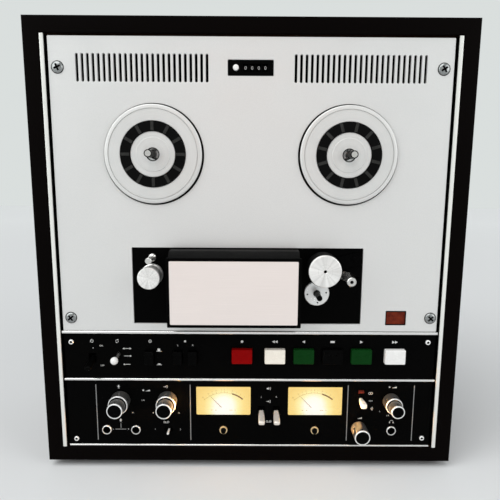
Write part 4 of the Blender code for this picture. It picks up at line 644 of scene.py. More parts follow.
board("cabinet_top", WALNUT_ACROSS, (-HALF, TOP), (HALF, TOP), (0, -1))
board("cabinet_bottom", WALNUT_ACROSS, (HALF, FOOT), (-HALF, FOOT), (0, 1))
board("cabinet_left", WALNUT_UP, (-HALF, FOOT), (-HALF, TOP), (1, 0))
board("cabinet_right", WALNUT_UP, (HALF, TOP), (HALF, FOOT), (-1, 0))
feet = []
for x in (-FOOT_X, FOOT_X):
    for z in (-FOOT_IN, FOOT_IN - DEPTH):
        foot = lathe([(0, 1.2), (4.2, 1.2), (4.2, 0.1), (5, 0), (11, 0), (12, 0.8), (14, 7.4),
                      (14, FOOT), (0, FOOT)])
        feet.append(moved(foot, x, 0, z, Matrix.Rotation(-QUARTER, 4, "X")))
piece("cabinet_feet", joined(*feet), RUBBER, stands="cabinet", slot="belt_rubber")
for side, x0, x1 in (("left", -RAIL_OUTER, -RAIL_INNER), ("right", RAIL_INNER, RAIL_OUTER)):
    stands = "side_rail_" + side
    piece("rail_" + side, brick((x0, x1), (RAIL_LOW, RAIL_TOP), (-1.2, 0.5), 0.5), RAIL_UP,
          stands=stands)
    bed = brick((x0 + 0.1, x1 - 0.1), (RAIL_LOW + 0.1, RAIL_TOP - 0.1), (-12, -1.1), 0.3)
    piece("rail_bed_" + side, bed, BLACK, stands=stands, slot="panel_black")

# Panels

DECK_Y = (153.3, 442.2)
FUNCTION_Y = (98.3, 153)
AMPLIFIER_Y = (24.3, 98)
TABLES = {"supply": -95.4, "takeup": 95.4}
TABLE_Y = 332.5
TABLE_HOLE = 48.9
VENTS = 25
VENT_X = 42.4
VENT_PITCH = 5.16
VENT_Y = 413.5
COUNTER = (-0.8, 414)
HEAD_DECK = (-2.9, 200.7)
TAPE_LAMP = (150.4, 167.8)
KEYS = {"record": (-8.3, RED), "rewind": (26, CREAM), "reverse": (56, GREEN), "stop": (86, GLOSS),
        "play": (116, GREEN), "forward": (151, IVORY)}
KEY_Y = 126.7
BUTTONS = {"speed_button": -104.5, "record_mode_left": -75.2, "record_mode_right": -59.7}
BUTTON_Y = 124.8
POWER = (-164.5, 123.3)
AUTO_REVERSE = (-137.5, 126.3)
METERS = {"left": -27.9, "right": 69.8}
METER_Y = 75.5
MONITORS = {"monitor_left": 12.5, "monitor_right": 28.3}
MONITOR_Y = 64.8
JACKS = ((-152.7, 42.8), (-121.6, 42.8), (151.9, 42.8))
BULBS = [(x, 42.9) for x in METERS.values()]
ECHO = (118.2, 77.7)
ECHO_LAMP = (118.2, 86.8)
SELECTOR = (-86.2, 42.9)


def panel(name, node, height, corner, edge, holes, material):
    """A front plate with its holes."""
    outline = rect(-PANEL_HALF, PANEL_HALF, *height, corner)
    piece(name, slab(outline, holes, BACK, FACE, edge), material, stands=node)


def trim(name, node, half, height, front, edge):
    """A bright bar along a panel."""
    bar = brick((-half, half), height, (-3.2, front), edge, 3)
    piece(name, bar, TRIM, stands=node, slot="bright_aluminium")


# The table holes lie a little off the tables' middles, for the dark line that shows beside them.
holes = [circle(x - copysign(0.5, x), TABLE_Y - 0.3, TABLE_HOLE, 128) for x in TABLES.values()]
holes += [around(*COUNTER, 43.7, 14.7, 0.8), around(*HEAD_DECK, 234, 79.4, 0.8),
          around(*TAPE_LAMP, 21.1, 15.2, 0.6)]
for i in range(VENTS):
    for side in (-1, 1):
        holes.append(around(side * (VENT_X + i * VENT_PITCH), VENT_Y, 2.6, 26, 1.2, 4))
panel("deck_plate", "deck_panel", DECK_Y, 0.8, 0.35, holes, SILVER)
# Black sheets behind the vent slots: painted shade for the dark inside of the deck.
shade_sheets = [slab(rect(x - 72, x + 72, 395, 432, 2), [], -10.5, -9.5) for x in (-104.5, 104.5)]
piece("vent_baffles", joined(*shade_sheets), HOLE, slot="panel_black")
screws("deck_screws", [(-184.7, 413.5), (183.6, 413.8), (-184.5, 166.9), (186, 167.8)], 5.6, 2.3,
       FACE)

holes = [around(x, KEY_Y, 21.9, 16.2, 0.8) for x, _ in KEYS.values()]
holes += [around(x, BUTTON_Y, 9.8, 14.8, 0.6) for x in BUTTONS.values()]
holes += [around(*POWER, 7.6, 10.4, 1.2), around(*AUTO_REVERSE, 4.4, 8.4, 1.2)]
panel("function_plate", "function_panel", FUNCTION_Y, 0.5, 0.3, holes, BLACK)
trim("trim_upper", "function_panel", 195, (150, 153), -0.7, 0.8)
trim("trim_middle", "function_panel", 195, (98.7, 101.3), -0.7, 0.8)
studs("function_screws", [(-185.9, 140.7), (185.4, 141.7)])

holes = [around(x, METER_Y, 57.8, 32.2, 1.2) for x in METERS.values()]
holes += [circle(*place, 4.6, 32) for place in JACKS] + [circle(*place, 3.9, 32) for place in BULBS]
holes += [around(x, MONITOR_Y, 7.6, 10.4, 1.2) for x in MONITORS.values()]
holes += [around(*ECHO, 4.4, 8.4, 1.2), around(*SELECTOR, 8.4, 4.4, 1.2),
          around(*ECHO_LAMP, 6.2, 3.8, 0.5)]
panel("amplifier_plate", "amplifier_panel", AMPLIFIER_Y, 0.5, 0.3, holes, BLACK)
trim("trim_lower", "amplifier_panel", 193.2, (24.5, 26.5), -0.9, 0.7)
studs("amplifier_screws", [(-185.5, 32.4), (185.4, 34.2)])
on_panel = {"stands": "amplifier_panel", "slot": "chrome", "closed": True}
for i, place in enumerate(JACKS):
    ring = [(4.05, -17), (4.05, -0.9), (4.2, -0.5), (4.5, -0.4), (4.9, -0.8), (5, FACE - 0.1),
            (4.5, FACE - 0.1), (4.5, -17)]
    turned(f"jack_ring_{i}", ring, BRIGHT, at=place, **on_panel)
    tube = [(0, -18), (4, -18), (4, -1.2), (3.4, -1.9), (3.4, -16.6), (0, -16.6)]
    turned(f"jack_tube_{i}", tube, HOLE, at=place, slot="black_plastic", steps=32)
for i, (x, y) in enumerate(BULBS):
    ring = [(2.9, -5), (2.9, -1.6), (3.2, -0.5), (3.8, -0.2), (4.2, -0.8), (4.3, FACE - 0.1),
            (3.8, FACE - 0.1), (3.8, -5)]
    turned(f"lamp_ring_{i}", ring, GOLD, at=(x, y), **on_panel)
    # The black lens sits 1.2 mm below the ring's middle and covers its lower side: painted shade
    # for the unlit bottom of the ring.
    lens = [(0, 0.6), (1.2, 0.5), (2.2, 0.2), (2.8, -0.5), (2.8, -5), (0, -5)]
    turned(f"lamp_lens_{i}", lens, GLOSS, at=(x, y - 1.2), slot="black_plastic", steps=32)
piece("echo_lamp", brick((-2.9, 2.9), (-1.5, 1.5), (-4, FACE + 0.9), 0.5), EMBER, at=ECHO_LAMP,
      slot="red_plastic")

# Reel tables

RIB_TURN = {"supply": 0, "takeup": 0.29}
FIN_TURN = {"supply": radians(60), "takeup": radians(112)}
for name, x in TABLES.items():
    table = {"body": name + "_table", "at": (x, TABLE_Y), "stands": name + "_table"}
    mat = {**table, "stands": name + "_mat"}
    plate = [(6.6, 2.1), (16.2, 2.1), (16.5, 1.9), (16.7, 1.5), (21.5, 1.5), (21.8, 1.2),
             (21.8, 0.5), (32, 0.5), (32, 1.2), (32.3, 1.5), (43, 1.5), (43.1, 0.5), (43.7, 0.5),
             (43.8, 1.5), (46.3, 1.35), (47.2, 0.9), (47.6, 0.3), (47.6, -0.5), (45.3, -0.5),
             (45.3, -1.5), (6.6, -1.5)]
    turned(name + "_plate", plate, TURNED, **table, steps=128, closed=True)
    # A black rubber drum under the plate's rim: painted shade for the table's side wall, which
    # shows dark on the side nearest the middle.
    drum = [(45.3, -0.6), (46.5, -0.6), (46.8, -0.9), (46.8, -5), (45.3, -5)]
    turned(name + "_drum", drum, RUBBER, **table, slot="belt_rubber", steps=128, closed=True)
    core = lathe([(0, 25.5), (3, 25.5), (3.1, 25.9), (3.4, 26), (3.7, 25.7), (3.7, -8), (3, -8),
                  (3, -13), (0, -13)])
    fins = []
    for i in range(3):
        fin = slab([(0, 0.2), (5.5, 0.2), (5.3, 7), (4.2, 13.6), (0, 15.6)], [], -1.1, 1.1, 0.3, 1)
        fins.append(moved(fin, turn=spin(FIN_TURN[name] + i * 2 * pi / 3) @ UPRIGHT))
    piece(name + "_spindle", joined(core, *fins), GLOSS, **table, slot="black_plastic")
    bush = [(5.7, -8), (5.7, 2), (5.9, 2.2), (6.6, 2.2), (6.6, -8)]
    turned(name + "_bush", bush, RIB, **table, slot="black_plastic", closed=True)
    collar = [(3.6, 0.4), (5.7, 0.4), (5.7, -8), (3.6, -8)]
    turned(name + "_collar", collar, BRIGHT, **table, slot="chrome", closed=True)
    tip = [(0, 25.8), (2.8, 25.8), (2.95, 25.6), (2.95, 24), (0, 24)]
    turned(name + "_tip", tip, SATIN, **table, slot="chrome")
    ring = [(22, 0.8), (22, 2.1), (22.3, 2.4), (31.5, 2.4), (31.8, 2.1), (31.8, 0.8)]
    turned(name + "_rubber", ring, RUBBER, **mat, steps=96, closed=True)
    ribs = [moved(brick((22.5, 31.3), (-1.5, 1.5), (2.2, 2.7), 0.2),
                  turn=spin(i * pi / 6 + RIB_TURN[name])) for i in range(12)]
    piece(name + "_ribs", joined(*ribs), RIB, **mat)

# Counter

DRUM_RADIUS = 9
DRUMS = [-4.9 + 6.3 * i for i in range(4)]
RESET_X = -14.1
windows = [around(x, 0, 5.3, 7.5, 0.3) for x in DRUMS] + [circle(RESET_X, 0, 3.1, 48)]
piece("counter_plate", slab(around(0, 0, 43.1, 14.1, 0.8), windows, -3.2, -1.6, 0.3), BLACK,
      at=COUNTER, stands="counter_frame", slot="counter_black")
button = [(0, 0.2), (2, 0.2), (2.5, 0), (2.8, -0.5), (2.8, -3.6), (0, -3.6)]
turned("reset_button", button, IVORY, "counter_reset", (COUNTER[0] + RESET_X, COUNTER[1]),
       "counter_reset")
for i, x in enumerate(DRUMS):
    units = i == len(DRUMS) - 1
    body, node = ("units_drum", "units_drum") if units else ("root", "counter_frame")
    at = (COUNTER[0] + x, COUNTER[1], -12.6)
    drum = lathe([(1.6, -2.8), (8.6, -2.8), (DRUM_RADIUS, -2.5), (DRUM_RADIUS, 2.5), (8.6, 2.8),
                  (1.6, 2.8)], 60, True)
    piece(f"drum_{i}", moved(drum, turn=SIDEWAYS), GLOSS, body, at, node, "counter_black")
    digits = []
    for figure in range(10):
        sign = bmesh.new()
        words(sign, str(figure), 4.6, 0, 0, 0)
        for vert in sign.verts:
            turn = vert.co.y / DRUM_RADIUS + figure * pi / 5
            radius = DRUM_RADIUS + vert.co.z
            vert.co = (vert.co.x, radius * sin(turn), radius * cos(turn))
        digits.append(sign)
    piece(f"figures_{i}", joined(*digits), INK, body, at, slot="white_plastic")

# Tape path

GUIDE_POST = (-99, 230.3)
GUIDE_ROLLER = (-99.5, 213)
CAPSTAN = (68, 193.8)
PINCH = (72.7, 220.8)
PINCH_PIVOT = (106, 229.5)
TENSION = (98.1, 211.2)
TENSION_PIVOT = (90, 179.8)
SLOT_HALF = 4.6
BEARING_SCREWS = [(9.6 * cos(t), 9.6 * sin(t)) for t in (0.1 + i * QUARTER for i in range(4))]
reach = dist(TENSION, TENSION_PIVOT)
rest = degrees(atan2(TENSION[1] - TENSION_PIVOT[1], TENSION[0] - TENSION_PIVOT[0]))
slot_loop = arc(*TENSION_PIVOT, reach - SLOT_HALF, reach + SLOT_HALF, rest - 20.1, rest + 8.1)
piece("head_plate", slab(around(*HEAD_DECK, 233.4, 78.8, 0.8), [slot_loop], -6.5, -3.5, 0.3), BLACK,
      stands="head_deck")
post = [(0, 19.5), (2.7, 19.5), (3.2, 19), (3.2, 17.8), (2.4, 16.8), (2.4, 1.2), (3.9, 0),
        (3.9, -3.5), (0, -3.5)]
turned("guide_post", post, SATIN, at=GUIDE_POST, stands="head_deck", slot="chrome")
roller = [(0, 19.3), (2.4, 19.3), (2.6, 19.5), (2.6, 19.8), (9.7, 19.8), (10.7, 19.3), (11, 18.4),
          (11, 15.6), (10.2, 15), (10.2, 1.6), (11, 1), (11, -2.6), (2.8, -2.6), (2.8, 17), (0, 17)]
turned("guide_drum", roller, SPUN, "guide_roller", GUIDE_ROLLER, "guide_roller", steps=96)
bearing = lathe([(3.4, -1.2), (3.8, -0.8), (12.2, -0.8), (12.8, -1.4), (12.8, -3.2), (7, -3.2),
                 (7, -14), (3.4, -14)], 96, True)
wells = [moved(lathe([(0, -1.8), (0.9, -1.8), (0.9, 2), (0, 2)], 24), *place)
         for place in BEARING_SCREWS]
piece("bearing_disc", carved(bearing, *wells), BRIGHT, at=CAPSTAN, stands="capstan_bearing")
pins = [moved(lathe([(0, -1.4), (0.5, -1.4), (0.85, -1.6), (0.85, -2.4), (0, -2.4)], 24), *place)
        for place in BEARING_SCREWS]
piece("bearing_screws", joined(*pins), GLOSS, at=CAPSTAN, slot="black_plastic")
capstan = {"body": "capstan", "at": CAPSTAN, "stands": "capstan_flywheel"}
turned("capstan_shaft", [(0, 19.5), (2.3, 19.5), (2.75, 19.1), (2.75, -60.2), (0, -60.2)], GLOSS,
       **capstan)
wheel = [(0, -60.3), (12, -60.3), (12, -65), (31, -65), (31, -60.3), (41.4, -60.3), (42, -61),
         (42, -77.6), (41.4, -78.3), (31, -78.3), (31, -73), (12, -73), (12, -78.3), (0, -78.3)]
turned("capstan_wheel", wheel, STEEL, **capstan, steps=96)
pivot = lathe([(0, 0.9), (2.2, 0.9), (2.6, 0.5), (2.6, 0.2), (3.9, 0.2), (3.9, -0.8), (3.5, -6.5),
               (0, -6.5)])
arm = joined(slab(strap(PINCH, PINCH_PIVOT, 6.2), [], -3.2, -0.6, 0.4), moved(pivot, *PINCH_PIVOT))
piece("pinch_strap", arm, BLACK, "pinch_arm", stands="pinch_arm", slot="black_plastic")
cap = [(0, 19.2), (1.6, 19.2), (1.6, 20.7), (1.9, 21), (14.8, 21), (15.7, 20.6), (16.1, 19.8),
       (16.1, 18.4), (3, 18.4), (3, -1.6), (0, -1.6)]
turned("pinch_cap", cap, SPUN, "pinch_arm", PINCH, "pinch_arm", "table_aluminium", 96)
# A black disc at the floor of the cap's shallow hole: painted shade.
plug = [(0, 19.4), (1.55, 19.4), (1.55, 19), (0, 19)]
turned("pinch_oil_hole", plug, HOLE, "pinch_arm", PINCH, None, "black_plastic", 24)
tyre = [(3.4, -0.2), (15.9, -0.2), (16.6, 0.5), (16.6, 17.3), (15.9, 18), (3.4, 18)]
turned("pinch_tyre", tyre, RUBBER, "pinch_roller", PINCH, "pinch_roller", steps=96, closed=True)
pin = moved(lathe([(0, -14), (2, -14), (2, -8), (0, -8)], 24), *TENSION_PIVOT)
link = joined(slab(strap(TENSION_PIVOT, TENSION, 5), [], -9.1, -6.9, 0.3), pin)
piece("tension_link", link, DULL, "tension_arm", stands="tension_arm", slot="chassis_steel")
post = [(0, 22.2), (1.5, 22.2), (1.7, 23.5), (3.9, 23.5), (4.5, 22.9), (4.5, 21.9), (3.8, 20.4),
        (3.8, 0), (4.5, -1.6), (4.5, -3.2), (3.8, -3.2), (3.8, -8), (0, -8)]
turned("tension_post", post, SATIN, "tension_arm", TENSION, "tension_arm", steps=64)
# A black disc at the floor of the post's shallow hole: painted shade.
plug = [(0, 22.45), (1.5, 22.45), (1.5, 22.1), (0, 22.1)]
turned("tension_socket", plug, HOLE, "tension_arm", TENSION, None, "black_plastic", 24)

# Head cover

COVER_X = -16.1
COVER_LOW = 163.7
COVER_HIGH = 75.5
COVER_HALF = 63.95
PLATE_PLACE = (COVER_X - 0.2, 198.35)


def cover_section(x, gap, front, back):
    """The cover's outline across its length."""
    low, high = COVER_LOW + gap, COVER_LOW + COVER_HIGH - gap
    outline = [(back, low), (front, low), (front, high - 5.6), (front - 7, high), (back, high)]
    return [(COVER_X + x, y, z) for z, y in outline]


shell = loft([cover_section(side * (COVER_HALF - gap), gap, 19.5 - gap, -3.2)
              for side, gap in ((-1, 0.5), (-1, 0), (1, 0), (1, 0.5))])
rims = [e for e in shell.edges if len(e.link_faces) == 2 and 0.3 < e.calc_face_angle(0) < 1.4
        and abs(e.verts[0].co.x - e.verts[1].co.x) > 50]
bevel(shell, rims, 0.9, 3)
hollow = loft([cover_section(side * 62.1, 1.8, 16.5, -20) for side in (-1, 1)])
passage = brick((COVER_X - 130, COVER_X + 130), (195.2, 205.2), (-20, 13.5), 0.4, 1)
piece("cover_shell", carved(shell, hollow, passage), COVER, "head_cover", stands="head_cover")
lip = slab(around(COVER_X, 198.35, 132.3, 69.9, 1), [], 16.5, 19.8, 0.4)
pocket = slab(around(*PLATE_PLACE, 126.8, 64.7, 1.4), [], 18.3, 40)
piece("cover_rim", carved(lip, pocket), BLACK, "head_cover", stands="head_cover")
plate = slab(around(*PLATE_PLACE, 126.2, 64.1, 1.2), [], 18.4, 19.9, 0.6)
piece("cover_plate", plate, PLATE, "head_cover", stands="head_cover_plate")
piece("lamp_lens", brick((140.2, 160.6), (160.6, 175), (-8.8, -2.7), 0.9, 3), AMBER,
      stands="tape_lamp")
rim = slab(around(*TAPE_LAMP, 21, 15.1, 0.6), [around(*TAPE_LAMP, 19.4, 13.4, 0.8)], -5, -1.9, 0.2)
piece("lamp_rim", rim, GLOSS, stands="tape_lamp", slot="black_plastic")

# Keys, levers and knobs

for name, (x, material) in KEYS.items():
    key = joined(slab(around(0, 0, 21.3, 15.6, 1.2), [], -6, 3, 1, 3),
                 slab(around(0, 0, 22.9, 17.2, 1), [], -6.3, -4.9))
    piece(name + "_cap", key, material, name + "_key", (x, KEY_Y), name + "_key")
for name, x in BUTTONS.items():
    cap = joined(slab(around(0, 0, 9.2, 14.2, 0.9), [], -6, 3.5, 0.7, 3),
                 slab(around(0, 0, 10.8, 15.8, 0.8), [], -6.3, -4.9))
    piece(name + "_cap", cap, GLOSS, name, (x, BUTTON_Y), name)

# A lever turns on a hub this far behind the cabinet's front edge.
HUB = 9
PADDLE = [(4.4, 2.8, -3.5), (5.2, 3.2, -1), (6.4, 3.9, 4), (6.7, 4.4, 9), (6.7, 4.6, 14),
          (6, 4, 15.2), (4.6, 2.6, 15.7)]
THICK = [(3.2, 3, -3.5), (4.6, 4, 2), (6.2, 5, 8), (6.4, 5.2, 12.2), (5.2, 4.2, 13.9),
         (3, 2.2, 14.4)]
SHORT = [(1.8, 1.8, -3.5), (2, 2, 2), (2.3, 2.2, 5), (2.1, 2, 6.4), (1.2, 1, 7)]


def squared(value):
    """A sine or cosine pushed out towards a square section."""
    return copysign(abs(value) ** 0.55, value)


def oval(width, height, z):
    """A flattened round section at a place along a lever."""
    return [(width / 2 * squared(x), height / 2 * squared(y), z) for x, y in circle(0, 0, 1, 24)]


def axle(half):
    """A lever's hub."""
    return moved(lathe([(0, -half), (2.4, -half), (2.4, half), (0, half)], 24), turn=SIDEWAYS)


def lever(name, place, sections, material, lean=0, turn=0):
    """A lever with a bat of (width, height, z) sections on a stem."""
    at = (*place, -HUB)
    tilt = spin(radians(turn)) @ Matrix.Rotation(radians(lean), 4, "X")
    bat = loft([oval(width, height, z + HUB) for width, height, z in sections])
    piece(name + "_bat", moved(bat, turn=tilt), material, name, at, name, angle=60)
    end = sections[0][2] + HUB + 0.6
    stem = joined(lathe([(0, 0), (1.5, 0), (1.5, end), (0, end)], 24), axle(4))
    piece(name + "_stem", moved(stem, turn=tilt), GLOSS, name, at, name, "chrome")


lever("power_switch", POWER, PADDLE, GLOSS, 12)
for name, x in MONITORS.items():
    lever(name, (x, MONITOR_Y), PADDLE, PEARL, 13)
lever("echo_lever", ECHO, THICK, CREAM)
lever("tape_selector", SELECTOR, SHORT, IVORY, turn=90)
auto = {"body": "auto_reverse_lever", "at": (*AUTO_REVERSE, -HUB), "stands": "auto_reverse_lever"}
stick = lathe([(0, -2.4), (1.7, -2.4), (1.7, 4), (1.5, 6), (1.35, 18.6), (0, 18.6)], 32)
piece("auto_stick", joined(stick, axle(3.4)), SATIN, **auto, slot="chrome")
piece("auto_ball", lathe(bend(0, 22.4, 3.9, QUARTER, -QUARTER, 16)), IVORY, **auto, angle=60)

KNOB_Y = 76.9
KNOB_BACK = -1.4
RING_FRONT = 12.1
RING_BORE = 3.4


def knob(name, x, y, radius, front, back, bore=0):
    """A knob with a bright rim and a black dished end. The rear one of a pair has a bore."""
    own = {"body": name, "at": (x, y)}
    shell = lathe([(radius - 0.5, back), (radius, back + 0.5), (radius, front - 1.4),
                   (bore, front - 1.4), (bore, back)], 120, bool(bore))
    hole, stem = (bore, 4.6) if bore else (0.01, 3)
    shaft = lathe([(hole, back), (stem, back), (stem, -7), (hole, -7)], 32, True)
    piece(name + "_shell", joined(shell, shaft), KNOB, **own, stands=name)
    lip = [(radius - 1.1, front - 1.5), (radius - 1.1, front - 0.1), (radius - 0.95, front),
           (radius - 0.5, front), (radius - 0.1, front - 0.4), (radius, front - 0.9),
           (radius, front - 1.5)]
    turned(name + "_rim", lip, BRIGHT, **own, stands=name, slot="chrome", steps=120, closed=True)
    disc = [(bore, front - 0.5), (radius - 1.3, front - 0.5), (radius - 1.15, front - 0.7),
            (radius - 1.15, front - 1.4), (bore, front - 1.4)]
    turned(name + "_end", disc, GLOSS, **own, slot="black_plastic", steps=64, closed=bool(bore))
    mark = brick((-0.55, 0.55), (radius - 0.5, radius + 0.06), (front - 4.4, front - 1.6), 0.05, 1)
    piece(name + "_index", mark, GLOSS, **own, slot="black_plastic")


for name, x, rear, front in (("mic", -136.5, 10.2, 8.1), ("line", -87, 10.2, 8.1),
                             ("volume", 150, 8.8, 6.9)):
    knob(name + "_ring_knob", x, KNOB_Y, rear, RING_FRONT, KNOB_BACK, RING_BORE)
    knob(name + "_knob", x, KNOB_Y, front, 24.5, RING_FRONT + 0.4)
knob("level_knob", 116.7, 45.5, 8.1, 18.5, KNOB_BACK)

# Meters

PIVOT_Y = 60.6
DIAL_Z = -13.8
SCALE_LOW = -12
SCALE = ((20, 42), (10, 30), (7, 22), (5, 14.5), (3, 5), (2, -1), (1, -7), (0, -15.5), (1, -24),
         (2, -32), (3, -40))
SILL_Z = 6.5
NEEDLE_REST = radians(43)


def on_scale(radius, lean):
    """A point of the scale, from an angle left of upright."""
    turn = radians(lean)
    return -radius * sin(turn), SCALE_LOW + radius * cos(turn)


for side, x in METERS.items():
    stands = "meter_" + side
    at = (x, PIVOT_Y, DIAL_Z)
    face = slab(rect(-30.6, 30.6, -3, 32.8, 1), [], -0.8, 0)
    wall = slab(rect(-31, 31, -3.3, 33.1, 1.2), [rect(-29.9, 29.9, -2.2, 32, 1.2)], -0.8, 9.2)
    sill = slab(rect(-29.8, 29.8, -2.2, 3.4, 0.3), [], 2.9, SILL_Z, 0.5)
    bumps = [moved(lathe([(0, 2.4), (1.2, 2.2), (2, 1.5), (2.4, 0), (0, 0)], 32), place, 0.4, 5.9)
             for place in (-10.4, 10.8)]
    piece(f"dial_{side}", joined(face, wall, sill, *bumps), DIAL, at=at, stands=stands)
    case = slab(rect(-31.9, 31.9, -4.2, 34, 1.2), [], -17, -0.9)
    piece(f"case_{side}", case, COVER, at=at, stands=stands, slot="black_plastic")
    lines = bmesh.new()
    ink(lines, arc(0, SCALE_LOW, 30.9, 31.2, 90 + 44, 90 - 15.5), z=0)
    for figure, lean in SCALE:
        ink(lines, line(on_scale(31.2, lean), on_scale(32.6, lean), 0.35), z=0)
        words(lines, str(figure), 2, *on_scale(34.2, lean), 0)
    for place in (-13, -11.4, -9.8, -8.4, 7, 8.6, 10, 12.4):
        ink(lines, around(place, 2.2, 1, 0.7), z=SILL_Z)
    words(lines, side[0].upper(), 2.4, -17.5, 29, 0)
    piece(f"scale_{side}", lines, TAN, at=at, slot="needle_black")
    zone = bmesh.new()
    ink(zone, arc(0, SCALE_LOW, 30.4, 31.7, 90 - 16.5, 90 - 41), z=0)
    piece(f"zone_{side}", zone, SCARLET, at=at, slot="red_plastic")
    pointer = loft([[(s * half, y, z) for s, z in ((-1, 1.4), (1, 1.4), (1, 1.9), (-1, 1.9))]
                    for half, y in ((0.2, -0.8), (0.2, 6), (0.16, 15), (0.1, 21))])
    hub = lathe([(0, 2.4), (0.7, 2.4), (0.9, 2.1), (0.9, 0.5), (0, 0.5)], 32)
    needle = moved(joined(pointer, hub), turn=spin(NEEDLE_REST))
    piece(f"pointer_{side}", needle, NEEDLE, "needle_" + side, at, "needle_" + side)
    pane = slab(rect(-28.7, 28.7, -1, 30.8, 1.1), [], 9.4, 10.6, 0.3)
    piece(f"window_{side}", pane, GLASS, at=at, slot="lamp_amber")

# Printed marks

ROW = 141.8
marks = bmesh.new()
ink(marks, circle(-8.3, ROW, 1.4, 24))
for x, way, count in ((26, -1, 2), (56, -1, 1), (116, 1, 1), (151, 1, 2)):
    for i in range(count):
        ink(marks, triangle(x + (i - (count - 1) / 2) * 3, ROW, 2.9, way))
ink(marks, around(86, ROW, 4.4, 2.1))
ink(marks, arc(-164.5, ROW, 1.25, 1.7, 120, 420),
    line((-164.5, ROW + 0.4), (-164.5, ROW + 2.2), 0.5))
ink(marks, circle(-163.5, 134.3, 0.5, 16), circle(-165, 114.9, 0.5, 16))
ink(marks, arc(-138.2, ROW, 1.2, 1.6, 60, 200), arc(-138.2, ROW, 1.2, 1.6, 240, 380),
    triangle(-137.2, ROW + 1.5, 1.2, 1), triangle(-139.2, ROW - 1.5, 1.2, -1))
for y, way in ((133.7, 0), (125.6, 1), (116.4, -1)):
    ink(marks, line((-131.5, y), (-125, y), 0.5))
    if way >= 0:
        ink(marks, triangle(-124.6, y, 1.9, 1))
    if way <= 0:
        ink(marks, triangle(-131.8, y, 1.9, -1))
ink(marks, arc(-103.9, ROW, 1.2, 1.6, 0, 359), circle(-103.9, ROW, 0.45, 16))
for y, rise in ((131.2, 2.6), (116.3, 1.2)):
    ink(marks, line((-97.6, y - 0.3), (-92.4, y - 0.3), 0.5), rect(-96.3, -93.7, y, y + rise))
ink(marks, circle(-67.6, ROW, 1.1, 24))
for text, size, x, y in (("ON", 2.4, -155, 136.6), ("OFF", 2.4, -154.6, 114.9),
                         ("L", 2.6, -75.3, 137.4), ("R", 2.6, -59.6, 137.4)):
    words(marks, text, size, x, y)
piece("function_marks", marks, INK, slot="white_plastic")

marks = bmesh.new()


def microphone(x, y):
    """A microphone's pictogram."""
    ink(marks, around(x, y + 0.7, 1.3, 2.4, 0.6), arc(x, y + 0.6, 1.1, 1.4, 180, 360),
        line((x, y - 0.8), (x, y - 1.7), 0.35), line((x - 0.9, y - 1.7), (x + 0.9, y - 1.7), 0.35))


def wedge(x, y, wide=5, high=1.7):
    """A rising wedge, for a volume."""
    ink(marks, [(x - wide / 2, y - high / 2), (x + wide / 2, y - high / 2),
                (x + wide / 2, y + high / 2)])


def reels(x, y):
    """A tape's two reels."""
    for place in (x - 1.8, x + 1.8):
        ink(marks, arc(place, y, 0.85, 1.2, 0, 359), circle(place, y, 0.3, 12))
    ink(marks, line((x - 1.8, y - 1.05), (x + 1.8, y - 1.05), 0.3))


def waves(x, y, radii, width, half):
    """Sound waves that spread to the right."""
    for radius in radii:
        ink(marks, arc(x, y, radius, radius + width, -half, half, 12))


def inward(x, y):
    """An arrow into a bracket, for a line in."""
    ink(marks, line((x - 2.4, y), (x - 0.4, y), 0.45), triangle(x, y, 1.5, 1),
        line((x + 1.5, y - 1.3), (x + 1.5, y + 1.3), 0.4))
    for end in (y - 1.3, y + 1.3):
        ink(marks, line((x + 0.7, end), (x + 1.5, end), 0.4))


microphone(-138.5, 91.6)
microphone(-137.6, 53.4)
ink(marks, line((-137.6, 50), (-137.6, 44.6), 0.3), line((-143.6, 43.3), (-132, 43.3), 0.3))
inward(-88.7, 91.6)
inward(20.4, 75.6)
ink(marks, circle(-112.6, 87.6, 0.9, 20))
wedge(-108, 87.4)
wedge(153, 92)
wedge(117.6, 57)
ink(marks, [(18, 89.4), (18.9, 89.4), (20, 88.6), (20, 91.4), (18.9, 90.6), (18, 90.6)])
waves(19.8, 90, (1.2, 2.2), 0.3, 42)
waves(128.4, 67.9, (0.6, 1.6, 2.6), 0.35, 48)
reels(20.4, 52.8)
reels(-89, 51.6)
ink(marks, triangle(148.2, 92.2, 1.9, 1))
for x in (127.2, 129.2):
    ink(marks, arc(x, 85.1, 1, 1.35, 0, 359))
ink(marks, arc(151.9, 52.6, 1.7, 2.05, 0, 180))
for x in (150, 153.8):
    ink(marks, around(x, 52.1, 0.9, 1.8, 0.3))
for text, size, x, y in (("L R", 2.3, -113, 76.2), ("10", 2.1, -124.6, 62.2),
                         ("0", 2.1, -150, 62.2), ("0", 2.1, -102.8, 62), ("10", 2.1, -75.4, 62),
                         ("0", 2.1, 138.8, 64.5), ("10", 2.1, 164, 64.5), ("L R", 2.1, 147.6, 60),
                         ("L", 2.3, 12.4, 80.4), ("R", 2.3, 28.3, 80.4), ("L", 2.3, -146, 43.3),
                         ("R", 2.3, -129.6, 43.3), ("OFF", 2.3, 128.6, 76.4),
                         ("1", 2.3, -101, 43.2), ("2", 2.3, -74, 43.2)):
    words(marks, text, size, x, y)
piece("amplifier_marks", marks, INK, slot="white_plastic")
dividers = bmesh.new()
for x in (-162.5, -63, 104.2, 174.3):
    ink(dividers, rect(x - 0.4, x + 0.4, 31, 94))
piece("dividers", dividers, FAINT, slot="chrome")

# Back. These shapes are drawn facing forwards, and then turned to the rear.

SOCKET_ROWS = {"lower": (83, RED, "red_plastic"), "upper": (105, IVORY, "white_plastic")}
SOCKET_X = (-95, -61)
INLET = (85, -94)


def rear(name, shapes, material, slot):
    """A piece of the socket panel."""
    piece(name, moved(joined(*shapes), turn=OUTWARD), material, stands="socket_panel", slot=slot)


